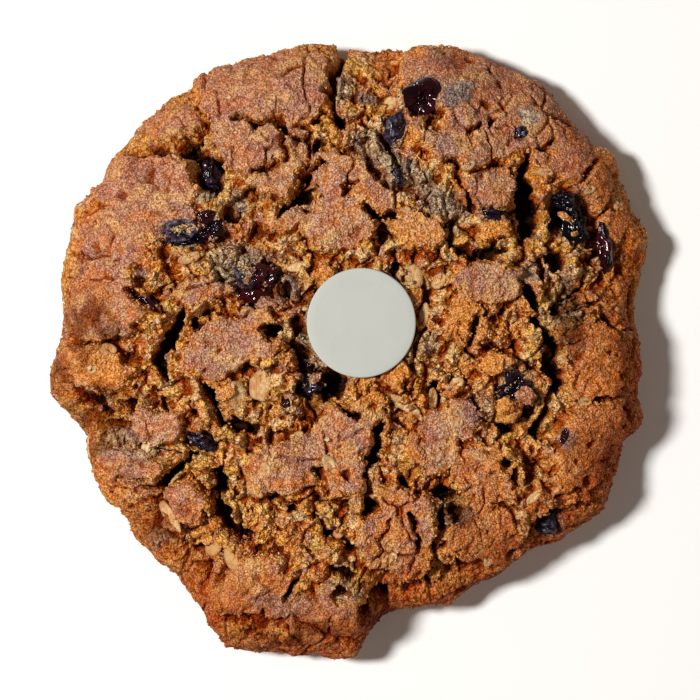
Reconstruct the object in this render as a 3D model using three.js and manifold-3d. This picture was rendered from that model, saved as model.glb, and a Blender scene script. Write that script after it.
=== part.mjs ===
// An oatmeal cookie: one baked solid with a cracked, craggy crust and rolled-oat flakes fused to it,
// dark berries sunk into the crust, and a plain round wafer lying on top.
// Millimetres, +Z up. The origin is on the flat base, in the middle of the cookie's length and width.
import * as THREE from "three";
import { mergeVertices } from "three/addons/utils/BufferGeometryUtils.js";
import Module from "manifold-3d";

// The baked dome in section, from the crown over the shoulder to the edge of the base: [radius, height].
// The radii are those of a round cookie of RIM_RADIUS, and are stretched to the real rim at each angle.
const RIM_RADIUS = 53;
const SECTION = [[0, 21], [21, 20.7], [34, 19.6], [43.5, 17], [49.5, 12.8], [52.6, 7.8], [52.4, 3.6], [49.5, 0]];
const SHOULDER_SHARE = 0.7; // share of the section's length that the upper face takes
const BASE_FADE = 3.5; // relief dies out over this height, so that the base is flat

// The rim seen from above, widest at about a third of the height: [degrees from +X, radius].
const RIM = [
  [0, 50.3], [8, 50.4], [15, 52.3], [19, 55.6], [29, 55.6], [36, 57.7], [40, 56.3], [57, 56.8], [72, 56],
  [77, 55.6], [79, 53.7], [88, 52.4], [96, 54.8], [105, 55.1], [118, 54.8], [121, 53], [128, 54.2], [137, 52.9],
  [142.5, 53.8], [144, 52.2], [148, 52], [151, 53.7], [162, 52.4], [176, 51.3], [182, 53], [186, 53.5],
  [190, 53], [197, 49.7], [205, 51.4], [217, 50.1], [228, 51.4], [234, 50.2], [241, 52.6], [246, 56.6],
  [258, 55], [266, 53.6], [269, 54.3], [273, 52], [275, 48], [278, 45.9], [286, 47.7], [299, 47.7],
  [309, 47.5], [317, 49.9], [321, 49.5], [326, 52.2], [331, 52.4], [340, 50.5], [345, 54.1], [347, 54.6], [350, 51.2],
];

// Waves of the crust: [size of a swell, height].
const SWELLS = [[15, 1.1], [6.5, 0.8], [3.4, 0.5]];
const GAP_WANDER = 0.8; // how far a gap's edge strays from its route
const GAP_WANDER_SIZE = 4.5;
const EDGE_SOFTNESS = 0.7; // run of a gap's wall beyond its half width

// Splits between the pieces of crust: the route of each, its width and its depth.
const GAPS = [
  { route: [[-38.5, 34.5], [-31, 35.5], [-28, 36.5], [-24.5, 40.5]], width: 1.6, depth: 4 },
  { route: [[-19.5, 41.5], [-16.5, 40], [-12, 40], [-11.5, 38], [-8.5, 36.5], [-2.5, 39]], width: 1.4, depth: 4 },
  { route: [[-1.5, 52], [-3, 47.5], [-3, 44], [-1.5, 39]], width: 2.3, depth: 5.5 },
  { route: [[-5, 32.5], [-7.5, 29.5], [-10.5, 26], [-12.5, 23.5]], width: 2.1, depth: 5 },
  { route: [[-2, 35.5], [2, 34.5], [6.5, 31.5], [9.5, 28], [17.5, 23.5]], width: 3.8, depth: 3 },
  { route: [[5.5, 38], [7.5, 35], [9, 32]], width: 1.4, depth: 4 },
  { route: [[3, 25.5], [5, 22], [8.5, 23.5]], width: 1.4, depth: 4 },
  { route: [[17.5, 33], [19, 28.5], [21, 24]], width: 1.2, depth: 4 },
  { route: [[31, 35.5], [29.5, 31.5], [30.5, 28.5], [30.5, 24.5], [31.5, 20.5]], width: 2.4, depth: 9 },
  { route: [[41.5, 30.5], [43.5, 33.5]], width: 0.8, depth: 2 },
  { route: [[17, 21.5], [17.5, 18], [22.5, 17], [28, 18]], width: 1.9, depth: 5 },
  { route: [[33, 5.5], [35.5, 1.5], [35.5, -2], [36, -5], [34.5, -11.5], [33, -14.5]], width: 2.3, depth: 8 },
  { route: [[43, -8.5], [47.5, -8]], width: 0.9, depth: 2 },
  { route: [[-10, 2], [-8, -2], [-5.5, -7.5], [-3, -8.5]], width: 2.8, depth: 6 },
  { route: [[-38, 10], [-33.5, 7]], width: 1.9, depth: 4 },
  { route: [[-29, 6.5], [-31, 2.5], [-33.5, -1], [-32.5, -4]], width: 2.3, depth: 8 },
  { route: [[-26, -5], [-24, -10.5], [-21.5, -13], [-17, -14.5]], width: 1.7, depth: 6 },
  { route: [[-37, -25], [-33, -23.5], [-30.5, -20.5], [-26.5, -18.5]], width: 1.6, depth: 6 },
  { route: [[-23, -21.5], [-22.5, -24.5], [-24.5, -26.5], [-23.5, -28.5], [-19, -32]], width: 3.1, depth: 9 },
  { route: [[-28, -23], [-25, -25]], width: 1.2, depth: 5 },
  { route: [[-33.5, -26], [-32.5, -28.5], [-28.5, -32.5]], width: 1, depth: 3.5 },
  { route: [[-27, -36.5], [-21.5, -36.5]], width: 1.4, depth: 4 },
  { route: [[-13.5, -26], [-9, -26.5], [-6.5, -25]], width: 1, depth: 3.5 },
  { route: [[-5.5, -29.5], [-3.5, -32.5], [1, -35]], width: 1.6, depth: 5 },
  { route: [[5, -12], [4.5, -17.5], [3, -22.5], [3, -27.5]], width: 1.9, depth: 6 },
  { route: [[16, -28], [15.5, -31.5], [14.5, -36]], width: 1.7, depth: 6 },
  { route: [[-8.5, -39.5], [-11, -43.5]], width: 1, depth: 3.5 },
  { route: [[-3, -9], [-1, -10.5], [1.5, -11.5]], width: 1, depth: 4 },
  { route: [[22, 5.5], [21, 0.5]], width: 0.9, depth: 3 },
];

// Holes where the crust has sunk or torn open: centre, size across and along, turn in degrees and depth.
const PITS = [
  { at: [-24.5, 31.5], size: [4.5, 8], turn: 10, depth: 7 },
  { at: [-6, 35.5], size: [2.8, 2.4], turn: 0, depth: 4 },
  { at: [-8.5, 27.5], size: [4.5, 2.6], turn: 15, depth: 5 },
  { at: [30.5, 25], size: [3.1, 7.7], turn: 0, depth: 10 },
  { at: [39, 23.5], size: [9.4, 11.5], turn: 0, depth: 4.5 },
  { at: [44.5, 18], size: [3.1, 12.5], turn: 8, depth: 4 },
  { at: [6.5, 20], size: [2.8, 3.5], turn: 0, depth: 4 },
  { at: [32, 9.5], size: [2.3, 5.2], turn: 40, depth: 8 },
  { at: [34.5, 14.5], size: [1.6, 3.5], turn: 0, depth: 4 },
  { at: [37, 7.5], size: [2.8, 2.4], turn: 0, depth: 4 },
  { at: [29, -7.5], size: [9.4, 9.4], turn: 0, depth: 4 },
  { at: [-16, 12], size: [9.4, 9.4], turn: 0, depth: 4 },
  { at: [-27.5, 20.5], size: [13.6, 5.9], turn: 0, depth: 2.5 },
  { at: [-45.5, -8], size: [5.6, 2.1], turn: -10, depth: 4 },
  { at: [-38.5, -9.5], size: [1.7, 2.8], turn: 15, depth: 4 },
  { at: [-33, -9.5], size: [1.3, 3.1], turn: 15, depth: 4 },
  { at: [-19, -13], size: [4.9, 2.4], turn: -10, depth: 6 },
  { at: [-26, -16], size: [6.3, 4.2], turn: -20, depth: 4 },
  { at: [-22.5, -39], size: [2.1, 1.6], turn: 30, depth: 4 },
  { at: [-10, -27.5], size: [2.1, 1.7], turn: 0, depth: 4 },
  { at: [4, -19.5], size: [3.1, 2.6], turn: 0, depth: 6 },
  { at: [3, -27.5], size: [3, 3.8], turn: 0, depth: 7 },
  { at: [10.5, -23.5], size: [3.5, 2.4], turn: -20, depth: 5 },
  { at: [16.5, -25], size: [5.6, 3.5], turn: -25, depth: 8 },
  { at: [18, -39], size: [1.6, 2.4], turn: 0, depth: 6 },
  { at: [5, -44], size: [3.1, 3.1], turn: 0, depth: 8 },
  { at: [-1, -39], size: [4.9, 2.1], turn: -15, depth: 5 },
  { at: [29, -22], size: [1.7, 3.3], turn: 10, depth: 6 },
  { at: [27.5, -19.5], size: [2.3, 1.7], turn: 0, depth: 4 },
  { at: [36, -27.5], size: [3.5, 2.3], turn: 0, depth: 4 },
  { at: [14.5, -8], size: [3.1, 4.9], turn: -15, depth: 5 },
  { at: [45, 4.5], size: [1.7, 2.6], turn: 0, depth: 4 },
  { at: [43.5, 8], size: [2.1, 1.7], turn: 0, depth: 4 },
  { at: [48, 15.5], size: [1.9, 4.9], turn: 0, depth: 3 },
  { at: [-20.5, 24], size: [2.8, 2.8], turn: 0, depth: 4 },
  { at: [8, 13.5], size: [2.4, 3.8], turn: 20, depth: 4 },
];

// Dark berries: centre seen from above, length, width, height, turn of the length from +X in degrees,
// and how far the top stands above the crust (negative where it has sunk below).
const BERRIES = [
  { at: [12.5, 43.5], size: [7.4, 6.2, 5.6], turn: 40, proud: 0.6 },
  { at: [8, 38.5], size: [6.3, 3.9, 4.6], turn: 75, proud: 0.2 },
  { at: [39.5, 23.5], size: [9.2, 7.6, 6.4], turn: 100, proud: 0.4 },
  { at: [44.5, 18], size: [9.6, 2.8, 4.4], turn: 97, proud: -0.5 },
  { at: [-16, 12], size: [8, 7.4, 6.2], turn: -50, proud: -0.6 },
  { at: [-27.5, 20.5], size: [11.2, 4, 4.2], turn: -2, proud: 0.3 },
  { at: [29, -7], size: [7.4, 7, 5.8], turn: 60, proud: -0.2 },
  { at: [-6.5, -6], size: [5.2, 4.6, 4.6], turn: 20, proud: -2.4 },
  { at: [34.5, -30.5], size: [4.6, 3.9, 4.2], turn: 15, proud: 0.3 },
  { at: [-35.5, 8.5], size: [5, 2.1, 3.6], turn: -32, proud: -0.9 },
  { at: [-24, 30.5], size: [6.4, 3.6, 4.6], turn: 102, proud: -2.6 },
  { at: [30, 38], size: [2.7, 2.5, 2.8], turn: 0, proud: -0.2 },
  { at: [-26, -16], size: [5.6, 3.6, 4], turn: -20, proud: -1.4 },
  { at: [25, 23.5], size: [6.4, 2.8, 4], turn: -18, proud: -0.4 },
];
const BERRY_WRINKLE = 0.07; // of the radius
const LARGE_BERRY = 7; // from this length on, a berry has finer facets
const MOUTH_SHARE = 0.9; // width of the opening over a berry, as a share of the berry's
const MOUTH_RISE = 9; // reach of that opening above the berry's middle
const MOUTH_SIDES = 12;

// Rolled-oat flakes that show: centre, length, width, turn in degrees and lean of the length in degrees.
const FLAKES = [
  { at: [-15.5, -6], size: [5.9, 4.2], turn: 80, lean: 8 },
  { at: [-19.5, -8], size: [5.7, 3.5], turn: 95, lean: -10 },
  { at: [9.5, -9.5], size: [6.6, 2], turn: -32, lean: 4 },
  { at: [11, 13], size: [4.7, 3.5], turn: 110, lean: 12 },
  { at: [12.9, 6], size: [4.5, 1.9], turn: 80, lean: 0 },
  { at: [-9, 14.5], size: [4.2, 1.8], turn: 12, lean: 6 },
  { at: [15.5, 12], size: [3.1, 2.4], turn: 60, lean: 10 },
  { at: [18.5, -6], size: [2.9, 2.4], turn: 40, lean: -12 },
  { at: [-42, 0], size: [2.8, 2.4], turn: -20, lean: 8 },
  { at: [-31.5, -29], size: [6.6, 2], turn: -55, lean: -6 },
  { at: [-24, -34.5], size: [3.5, 3.1], turn: 60, lean: 12 },
  { at: [-20.5, -36], size: [4.9, 3.1], turn: 100, lean: 8 },
  { at: [-14.5, -21], size: [2.4, 1.7], turn: 90, lean: 0 },
  { at: [-3.5, -20], size: [3.8, 2.5], turn: -60, lean: 10 },
  { at: [19, -12.5], size: [2.1, 1.6], turn: 80, lean: 0 },
  { at: [24.5, -36.5], size: [3.5, 1.8], turn: 65, lean: 6 },
  { at: [32, -25.8], size: [3.8, 1.6], turn: 42, lean: 0 },
  { at: [34, 31], size: [3.1, 1.6], turn: 5, lean: 8 },
  { at: [20.5, 32], size: [2.8, 1.6], turn: 25, lean: 6 },
  { at: [41, -9], size: [2.4, 1.8], turn: 0, lean: 10 },
  { at: [-2, -32], size: [2.2, 1.9], turn: 45, lean: 0 },
  { at: [-9, -15], size: [2.2, 1.9], turn: 45, lean: 12 },
  { at: [-16.5, -24.5], size: [3.5, 1.6], turn: -38, lean: 0 },
  { at: [-35.5, -17], size: [2.4, 1.8], turn: 60, lean: 6 },
  { at: [7, 43.2], size: [2.8, 2.1], turn: 50, lean: 0 },
];
const FLAKE_THICKNESS = 1.1;
const FLAKE_SIDES = 8;
const FLAKE_SUNK = 0.15; // depth of a flake's middle under the crust

// The plain wafer lying on the crown.
const WAFER = { diameter: 19, thickness: 0.6, at: [2, 4.7], sides: 48 };
const WAFER_SEAT = 21.2; // highest crust under the wafer

const CLEARANCE = 0.3; // between solids that touch
const GRID = 48; // cells along each side of the upper face's grid
const SIDE_ROWS = 6; // rows of cells from the shoulder to the base

const wasm = await Module();
wasm.setup();

const section = new THREE.SplineCurve(SECTION.map(([r, z]) => new THREE.Vector2(r, z)));
const sectionPoints = section.getSpacedPoints(200);

const smooth = (low, high, x) => THREE.MathUtils.smoothstep(x, low, high);

// Rim radius at an angle in radians, straight between the listed points.
function rimRadius(angle) {
  const degrees = THREE.MathUtils.euclideanModulo(THREE.MathUtils.radToDeg(angle), 360);
  const next = RIM.findIndex(([a]) => a > degrees);
  const [a1, r1] = next === -1 ? [RIM[0][0] + 360, RIM[0][1]] : RIM[next];
  const [a0, r0] = RIM[(next === -1 ? RIM.length : next) - 1];
  return THREE.MathUtils.mapLinear(degrees, a0, a1, r0, r1);
}

// Height of the bare dome, with no relief, at a place seen from above.
function domeHeight(x, y) {
  const radius = (Math.hypot(x, y) / rimRadius(Math.atan2(y, x))) * RIM_RADIUS;
  const next = Math.max(1, sectionPoints.findIndex((p) => p.x >= radius));
  const [inner, outer] = [sectionPoints[next - 1], sectionPoints[next]];
  return THREE.MathUtils.mapLinear(radius, inner.x, outer.x, inner.y, outer.y);
}

// A repeatable random number from 0 to 1 for a corner of the noise lattice.
function lattice(i, j, k) {
  const wave = Math.sin(i * 127.1 + j * 311.7 + k * 74.7) * 43758.5453;
  return wave - Math.floor(wave);
}

// Smooth noise from -1 to 1: the lattice values mixed across the cell that holds the point.
function noise(x, y, z) {
  const corner = [x, y, z].map(Math.floor);
  const mix = [x, y, z].map((v, axis) => smooth(0, 1, v - corner[axis]));
  let sum = 0;
  for (let n = 0; n < 8; n++) {
    const bits = [n & 1, (n >> 1) & 1, (n >> 2) & 1];
    const weight = bits.reduce((w, bit, axis) => w * (bit ? mix[axis] : 1 - mix[axis]), 1);
    sum += weight * lattice(...corner.map((c, axis) => c + bits[axis]));
  }
  return 2 * sum - 1;
}

// Distance from a point to a route of straight pieces.
function routeDistance(x, y, route) {
  let nearest = Infinity;
  for (let i = 1; i < route.length; i++) {
    const [[x0, y0], [x1, y1]] = [route[i - 1], route[i]];
    const along = ((x - x0) * (x1 - x0) + (y - y0) * (y1 - y0)) / ((x1 - x0) ** 2 + (y1 - y0) ** 2);
    const t = THREE.MathUtils.clamp(along, 0, 1);
    nearest = Math.min(nearest, Math.hypot(x - x0 - t * (x1 - x0), y - y0 - t * (y1 - y0)));
  }
  return nearest;
}

// Depth of the deepest gap or pit over a place.
function openDepth(x, y) {
  const wx = x + GAP_WANDER * noise(x / GAP_WANDER_SIZE, y / GAP_WANDER_SIZE, 3.5);
  const wy = y + GAP_WANDER * noise(x / GAP_WANDER_SIZE, y / GAP_WANDER_SIZE, 9.5);
  let deepest = 0;
  for (const { route, width, depth } of GAPS) {
    const wall = routeDistance(wx, wy, route) - width / 2;
    deepest = Math.max(deepest, depth * (1 - smooth(-EDGE_SOFTNESS, EDGE_SOFTNESS, wall)));
  }
  for (const { at, size, turn, depth } of PITS) {
    const [c, s] = [Math.cos(THREE.MathUtils.degToRad(turn)), Math.sin(THREE.MathUtils.degToRad(turn))];
    const [dx, dy] = [wx - at[0], wy - at[1]];
    const reach = Math.hypot((c * dx + s * dy) / (size[0] / 2), (c * dy - s * dx) / (size[1] / 2));
    deepest = Math.max(deepest, depth * (1 - smooth(0.55, 1.25, reach)));
  }
  return deepest;
}

// Height of the crust's relief over the bare dome.
function relief(x, y, z) {
  const swell = SWELLS.reduce((sum, [size, height]) => sum + height * noise(x / size, y / size, z / size), 0);
  return swell - openDepth(x, y);
}

// A square from -1 to 1 pressed into a disc of the same area: [share of the radius, angle].
function squareToDisc(u, v) {
  if (u === 0 && v === 0) return [0, 0];
  if (Math.abs(u) > Math.abs(v)) return [Math.abs(u), (Math.PI / 4) * (v / u) + (u < 0 ? Math.PI : 0)];
  return [Math.abs(v), Math.PI / 2 - (Math.PI / 4) * (u / v) + (v < 0 ? Math.PI : 0)];
}

// A place on the dome, at a share of the section's length, pushed out by the relief.
function crustPoint(share, angle) {
  const at = section.getPointAt(share);
  const run = section.getTangentAt(share);
  const stretch = rimRadius(angle) / RIM_RADIUS;
  const [c, s] = [Math.cos(angle), Math.sin(angle)];
  const [x, y] = [at.x * stretch * c, at.x * stretch * s];
  const rise = relief(x, y, at.y) * smooth(0, BASE_FADE, at.y);
  const point = new THREE.Vector3(x - run.y * rise * c, y - run.y * rise * s, at.y + run.x * rise);
  const underWafer = Math.hypot(point.x - WAFER.at[0], point.y - WAFER.at[1]) < WAFER.diameter / 2 + 1;
  if (underWafer) point.z = Math.min(point.z, WAFER_SEAT);
  return point;
}

// The bare baked dough: a gridded block whose top and sides are moved onto the dome, with its bottom kept flat.
function doughGeometry() {
  const block = new THREE.BoxGeometry(2, 2, 1, GRID, GRID, SIDE_ROWS);
  block.deleteAttribute("normal");
  block.deleteAttribute("uv");
  const geometry = mergeVertices(block);
  const places = geometry.getAttribute("position");
  const baseStretch = SECTION.at(-1)[0] / RIM_RADIUS;
  for (let i = 0; i < places.count; i++) {
    const [u, v, level] = [places.getX(i), places.getY(i), 0.5 - places.getZ(i)];
    const [radius, angle] = squareToDisc(u, v);
    if (level > 0.999) {
      const reach = radius > 0.999 ? baseStretch * rimRadius(angle) : 0;
      places.setXYZ(i, reach * Math.cos(angle), reach * Math.sin(angle), 0);
    } else {
      const share = level === 0 ? radius * SHOULDER_SHARE : SHOULDER_SHARE + level * (1 - SHOULDER_SHARE);
      places.setXYZ(i, ...crustPoint(share, angle).toArray());
    }
  }
  return geometry;
}

// A closed geometry as a solid that can be joined and cut, without triangles that have shrunk to a line.
function solidOf(geometry) {
  const bare = new THREE.BufferGeometry().setAttribute("position", geometry.getAttribute("position"));
  bare.setIndex(geometry.getIndex());
  const merged = mergeVertices(bare, 1e-4);
  const vertProperties = new Float32Array(merged.getAttribute("position").array);
  const corners = merged.getIndex().array;
  const whole = [];
  for (let i = 0; i < corners.length; i += 3) {
    const [a, b, c] = [corners[i], corners[i + 1], corners[i + 2]];
    if (a !== b && b !== c && c !== a) whole.push(a, b, c);
  }
  return new wasm.Manifold(new wasm.Mesh({ numProp: 3, vertProperties, triVerts: new Uint32Array(whole) }));
}

function geometryOf(solid) {
  const { vertProperties, triVerts } = solid.getMesh();
  const geometry = new THREE.BufferGeometry();
  geometry.setAttribute("position", new THREE.BufferAttribute(vertProperties, 3));
  geometry.setIndex(new THREE.BufferAttribute(triVerts, 1));
  geometry.computeVertexNormals();
  return geometry;
}

// A berry in its own frame, length along X: a wrinkled ball pressed to its three sizes.
function berryGeometry([length, width, height], seed) {
  const geometry = new THREE.IcosahedronGeometry(0.5, length > LARGE_BERRY ? 2 : 1);
  const places = geometry.getAttribute("position");
  const place = new THREE.Vector3();
  for (let i = 0; i < places.count; i++) {
    place.fromBufferAttribute(places, i);
    place.multiplyScalar(1 + BERRY_WRINKLE * noise(place.x * 6 + seed, place.y * 6, place.z * 6));
    places.setXYZ(i, place.x, place.y, place.z);
  }
  return geometry.scale(length, width, height);
}

const skin = new THREE.MeshStandardMaterial({ color: 0x1c1420, roughness: 0.35, metalness: 0 });

function berryMesh({ at: [x, y], size, turn, proud }, index) {
  const mesh = new THREE.Mesh(berryGeometry(size, index), skin);
  mesh.name = `berry_${String(index + 1).padStart(2, "0")}`;
  mesh.position.set(x, y, domeHeight(x, y) + proud - size[2] / 2);
  mesh.rotation.z = THREE.MathUtils.degToRad(turn);
  mesh.updateMatrix();
  return mesh;
}

// The hole that a berry sits in: its own form, larger by the clearance all round, open to the sky above.
function pocketOf(berry) {
  const { x, y, z } = new THREE.Box3().setFromBufferAttribute(berry.geometry.getAttribute("position"))
    .getSize(new THREE.Vector3());
  const grown = [x, y, z].map((size) => 1 + (2 * CLEARANCE) / size);
  const mouth = new THREE.CylinderGeometry(MOUTH_SHARE / 2, MOUTH_SHARE / 2, MOUTH_RISE, MOUTH_SIDES);
  mouth.rotateX(Math.PI / 2).scale(x, y, 1).translate(0, 0, MOUTH_RISE / 2);
  const seat = solidOf(berry.geometry.clone().scale(...grown).applyMatrix4(berry.matrix));
  return seat.add(solidOf(mouth.applyMatrix4(berry.matrix)));
}

// A thin oval flake lying on the crust, half sunk.
function flakeSolid({ at: [x, y], size: [length, width], turn, lean }) {
  const oval = new THREE.CylinderGeometry(0.5, 0.5, FLAKE_THICKNESS, FLAKE_SIDES).rotateX(Math.PI / 2);
  oval.scale(length, width, 1).rotateY(THREE.MathUtils.degToRad(lean)).rotateZ(THREE.MathUtils.degToRad(turn));
  const dome = domeHeight(x, y);
  const surface = dome + relief(x, y, dome);
  return solidOf(oval.translate(x, y, surface - FLAKE_SUNK));
}

function cookieMesh(berries) {
  let body = solidOf(doughGeometry());
  for (const flake of FLAKES) body = body.add(flakeSolid(flake));
  for (const berry of berries) body = body.subtract(pocketOf(berry));
  const crust = new THREE.MeshStandardMaterial({ color: 0xa8683a, roughness: 0.9, metalness: 0 });
  const mesh = new THREE.Mesh(geometryOf(body), crust);
  mesh.name = "cookie";
  return mesh;
}

function waferMesh() {
  const { diameter, thickness, at, sides } = WAFER;
  const disc = new THREE.CylinderGeometry(diameter / 2, diameter / 2, thickness, sides).rotateX(Math.PI / 2);
  const paper = new THREE.MeshStandardMaterial({ color: 0xcdcdc6, roughness: 0.85, metalness: 0 });
  const mesh = new THREE.Mesh(disc, paper);
  mesh.name = "wafer_disc";
  mesh.position.set(at[0], at[1], WAFER_SEAT + CLEARANCE + thickness / 2);
  return mesh;
}

const berries = BERRIES.map(berryMesh);
const cookie = new THREE.Group();
cookie.add(cookieMesh(berries), ...berries, waferMesh());

// The uneven rim is measured, so that the origin is in the middle of the base.
const middle = new THREE.Box3().setFromObject(cookie).getCenter(new THREE.Vector3());
cookie.position.set(-middle.x, -middle.y, 0);

export default cookie;
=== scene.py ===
# Oatmeal cookie: baked dough with crumbs and oat flakes, berries and a wafer, made round the frame.
# Forms are worked out in millimetres, from the middle of the picture, and go into the meshes in metres.
from itertools import product

import bpy
import numpy as np
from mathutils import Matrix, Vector


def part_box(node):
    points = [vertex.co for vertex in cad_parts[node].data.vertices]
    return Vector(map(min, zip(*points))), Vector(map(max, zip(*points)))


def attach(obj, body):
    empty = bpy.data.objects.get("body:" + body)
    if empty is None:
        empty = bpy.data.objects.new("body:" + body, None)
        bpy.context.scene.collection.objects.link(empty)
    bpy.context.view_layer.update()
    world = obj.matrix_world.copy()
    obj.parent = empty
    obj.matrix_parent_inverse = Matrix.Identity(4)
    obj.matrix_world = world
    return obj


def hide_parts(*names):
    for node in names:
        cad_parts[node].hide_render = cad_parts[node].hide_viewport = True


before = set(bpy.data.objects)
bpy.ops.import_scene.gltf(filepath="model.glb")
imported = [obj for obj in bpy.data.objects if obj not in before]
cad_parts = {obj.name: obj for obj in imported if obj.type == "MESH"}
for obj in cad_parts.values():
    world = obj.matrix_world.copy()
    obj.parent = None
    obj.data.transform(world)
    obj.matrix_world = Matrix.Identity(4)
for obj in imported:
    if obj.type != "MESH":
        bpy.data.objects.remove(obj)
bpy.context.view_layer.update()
mm = 0.001
rng = np.random.default_rng(7)

wafer = {
    "at": (2.0, 4.7), "diameter": 19.0, "thickness": 0.6, "around": 120, "wave": 0.012, "warp": 0.05,
    "seat": 21.2,  # height of the dough under it
    "seatMargin": 0.4,  # how far round it the dough is levelled
    "grainMargin": 0.6,  # and how far round it no grains lie
}
waferLow, waferHigh = (np.array(corner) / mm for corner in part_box("wafer_disc"))
# from the making frame to the part's
offset = np.array([*((waferLow + waferHigh)[:2] / 2 - wafer["at"]), 0.0])

# where in the noise each use of it starts, so that none repeats another
layers = {
    "gapEdge": 3.5, "gapWidth": 127.5, "gapFloor": 129.5, "patchEdge": 101.5, "berryLap": 137.5,
    "crumb": 151.5, "bits": 191.5, "bulges": 33, "clefts": 60.5, "splits": 57.5,
    "swayAcross": 71, "swayAlong": 83, "under": 5.5,
}
# first seed of each use of the cells, and the step to the next
cellSeeds = {"rubble": (0.3, 1.4), "splits": (5.7, 2.2), "pores": (8.3, 1.9)}

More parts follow.
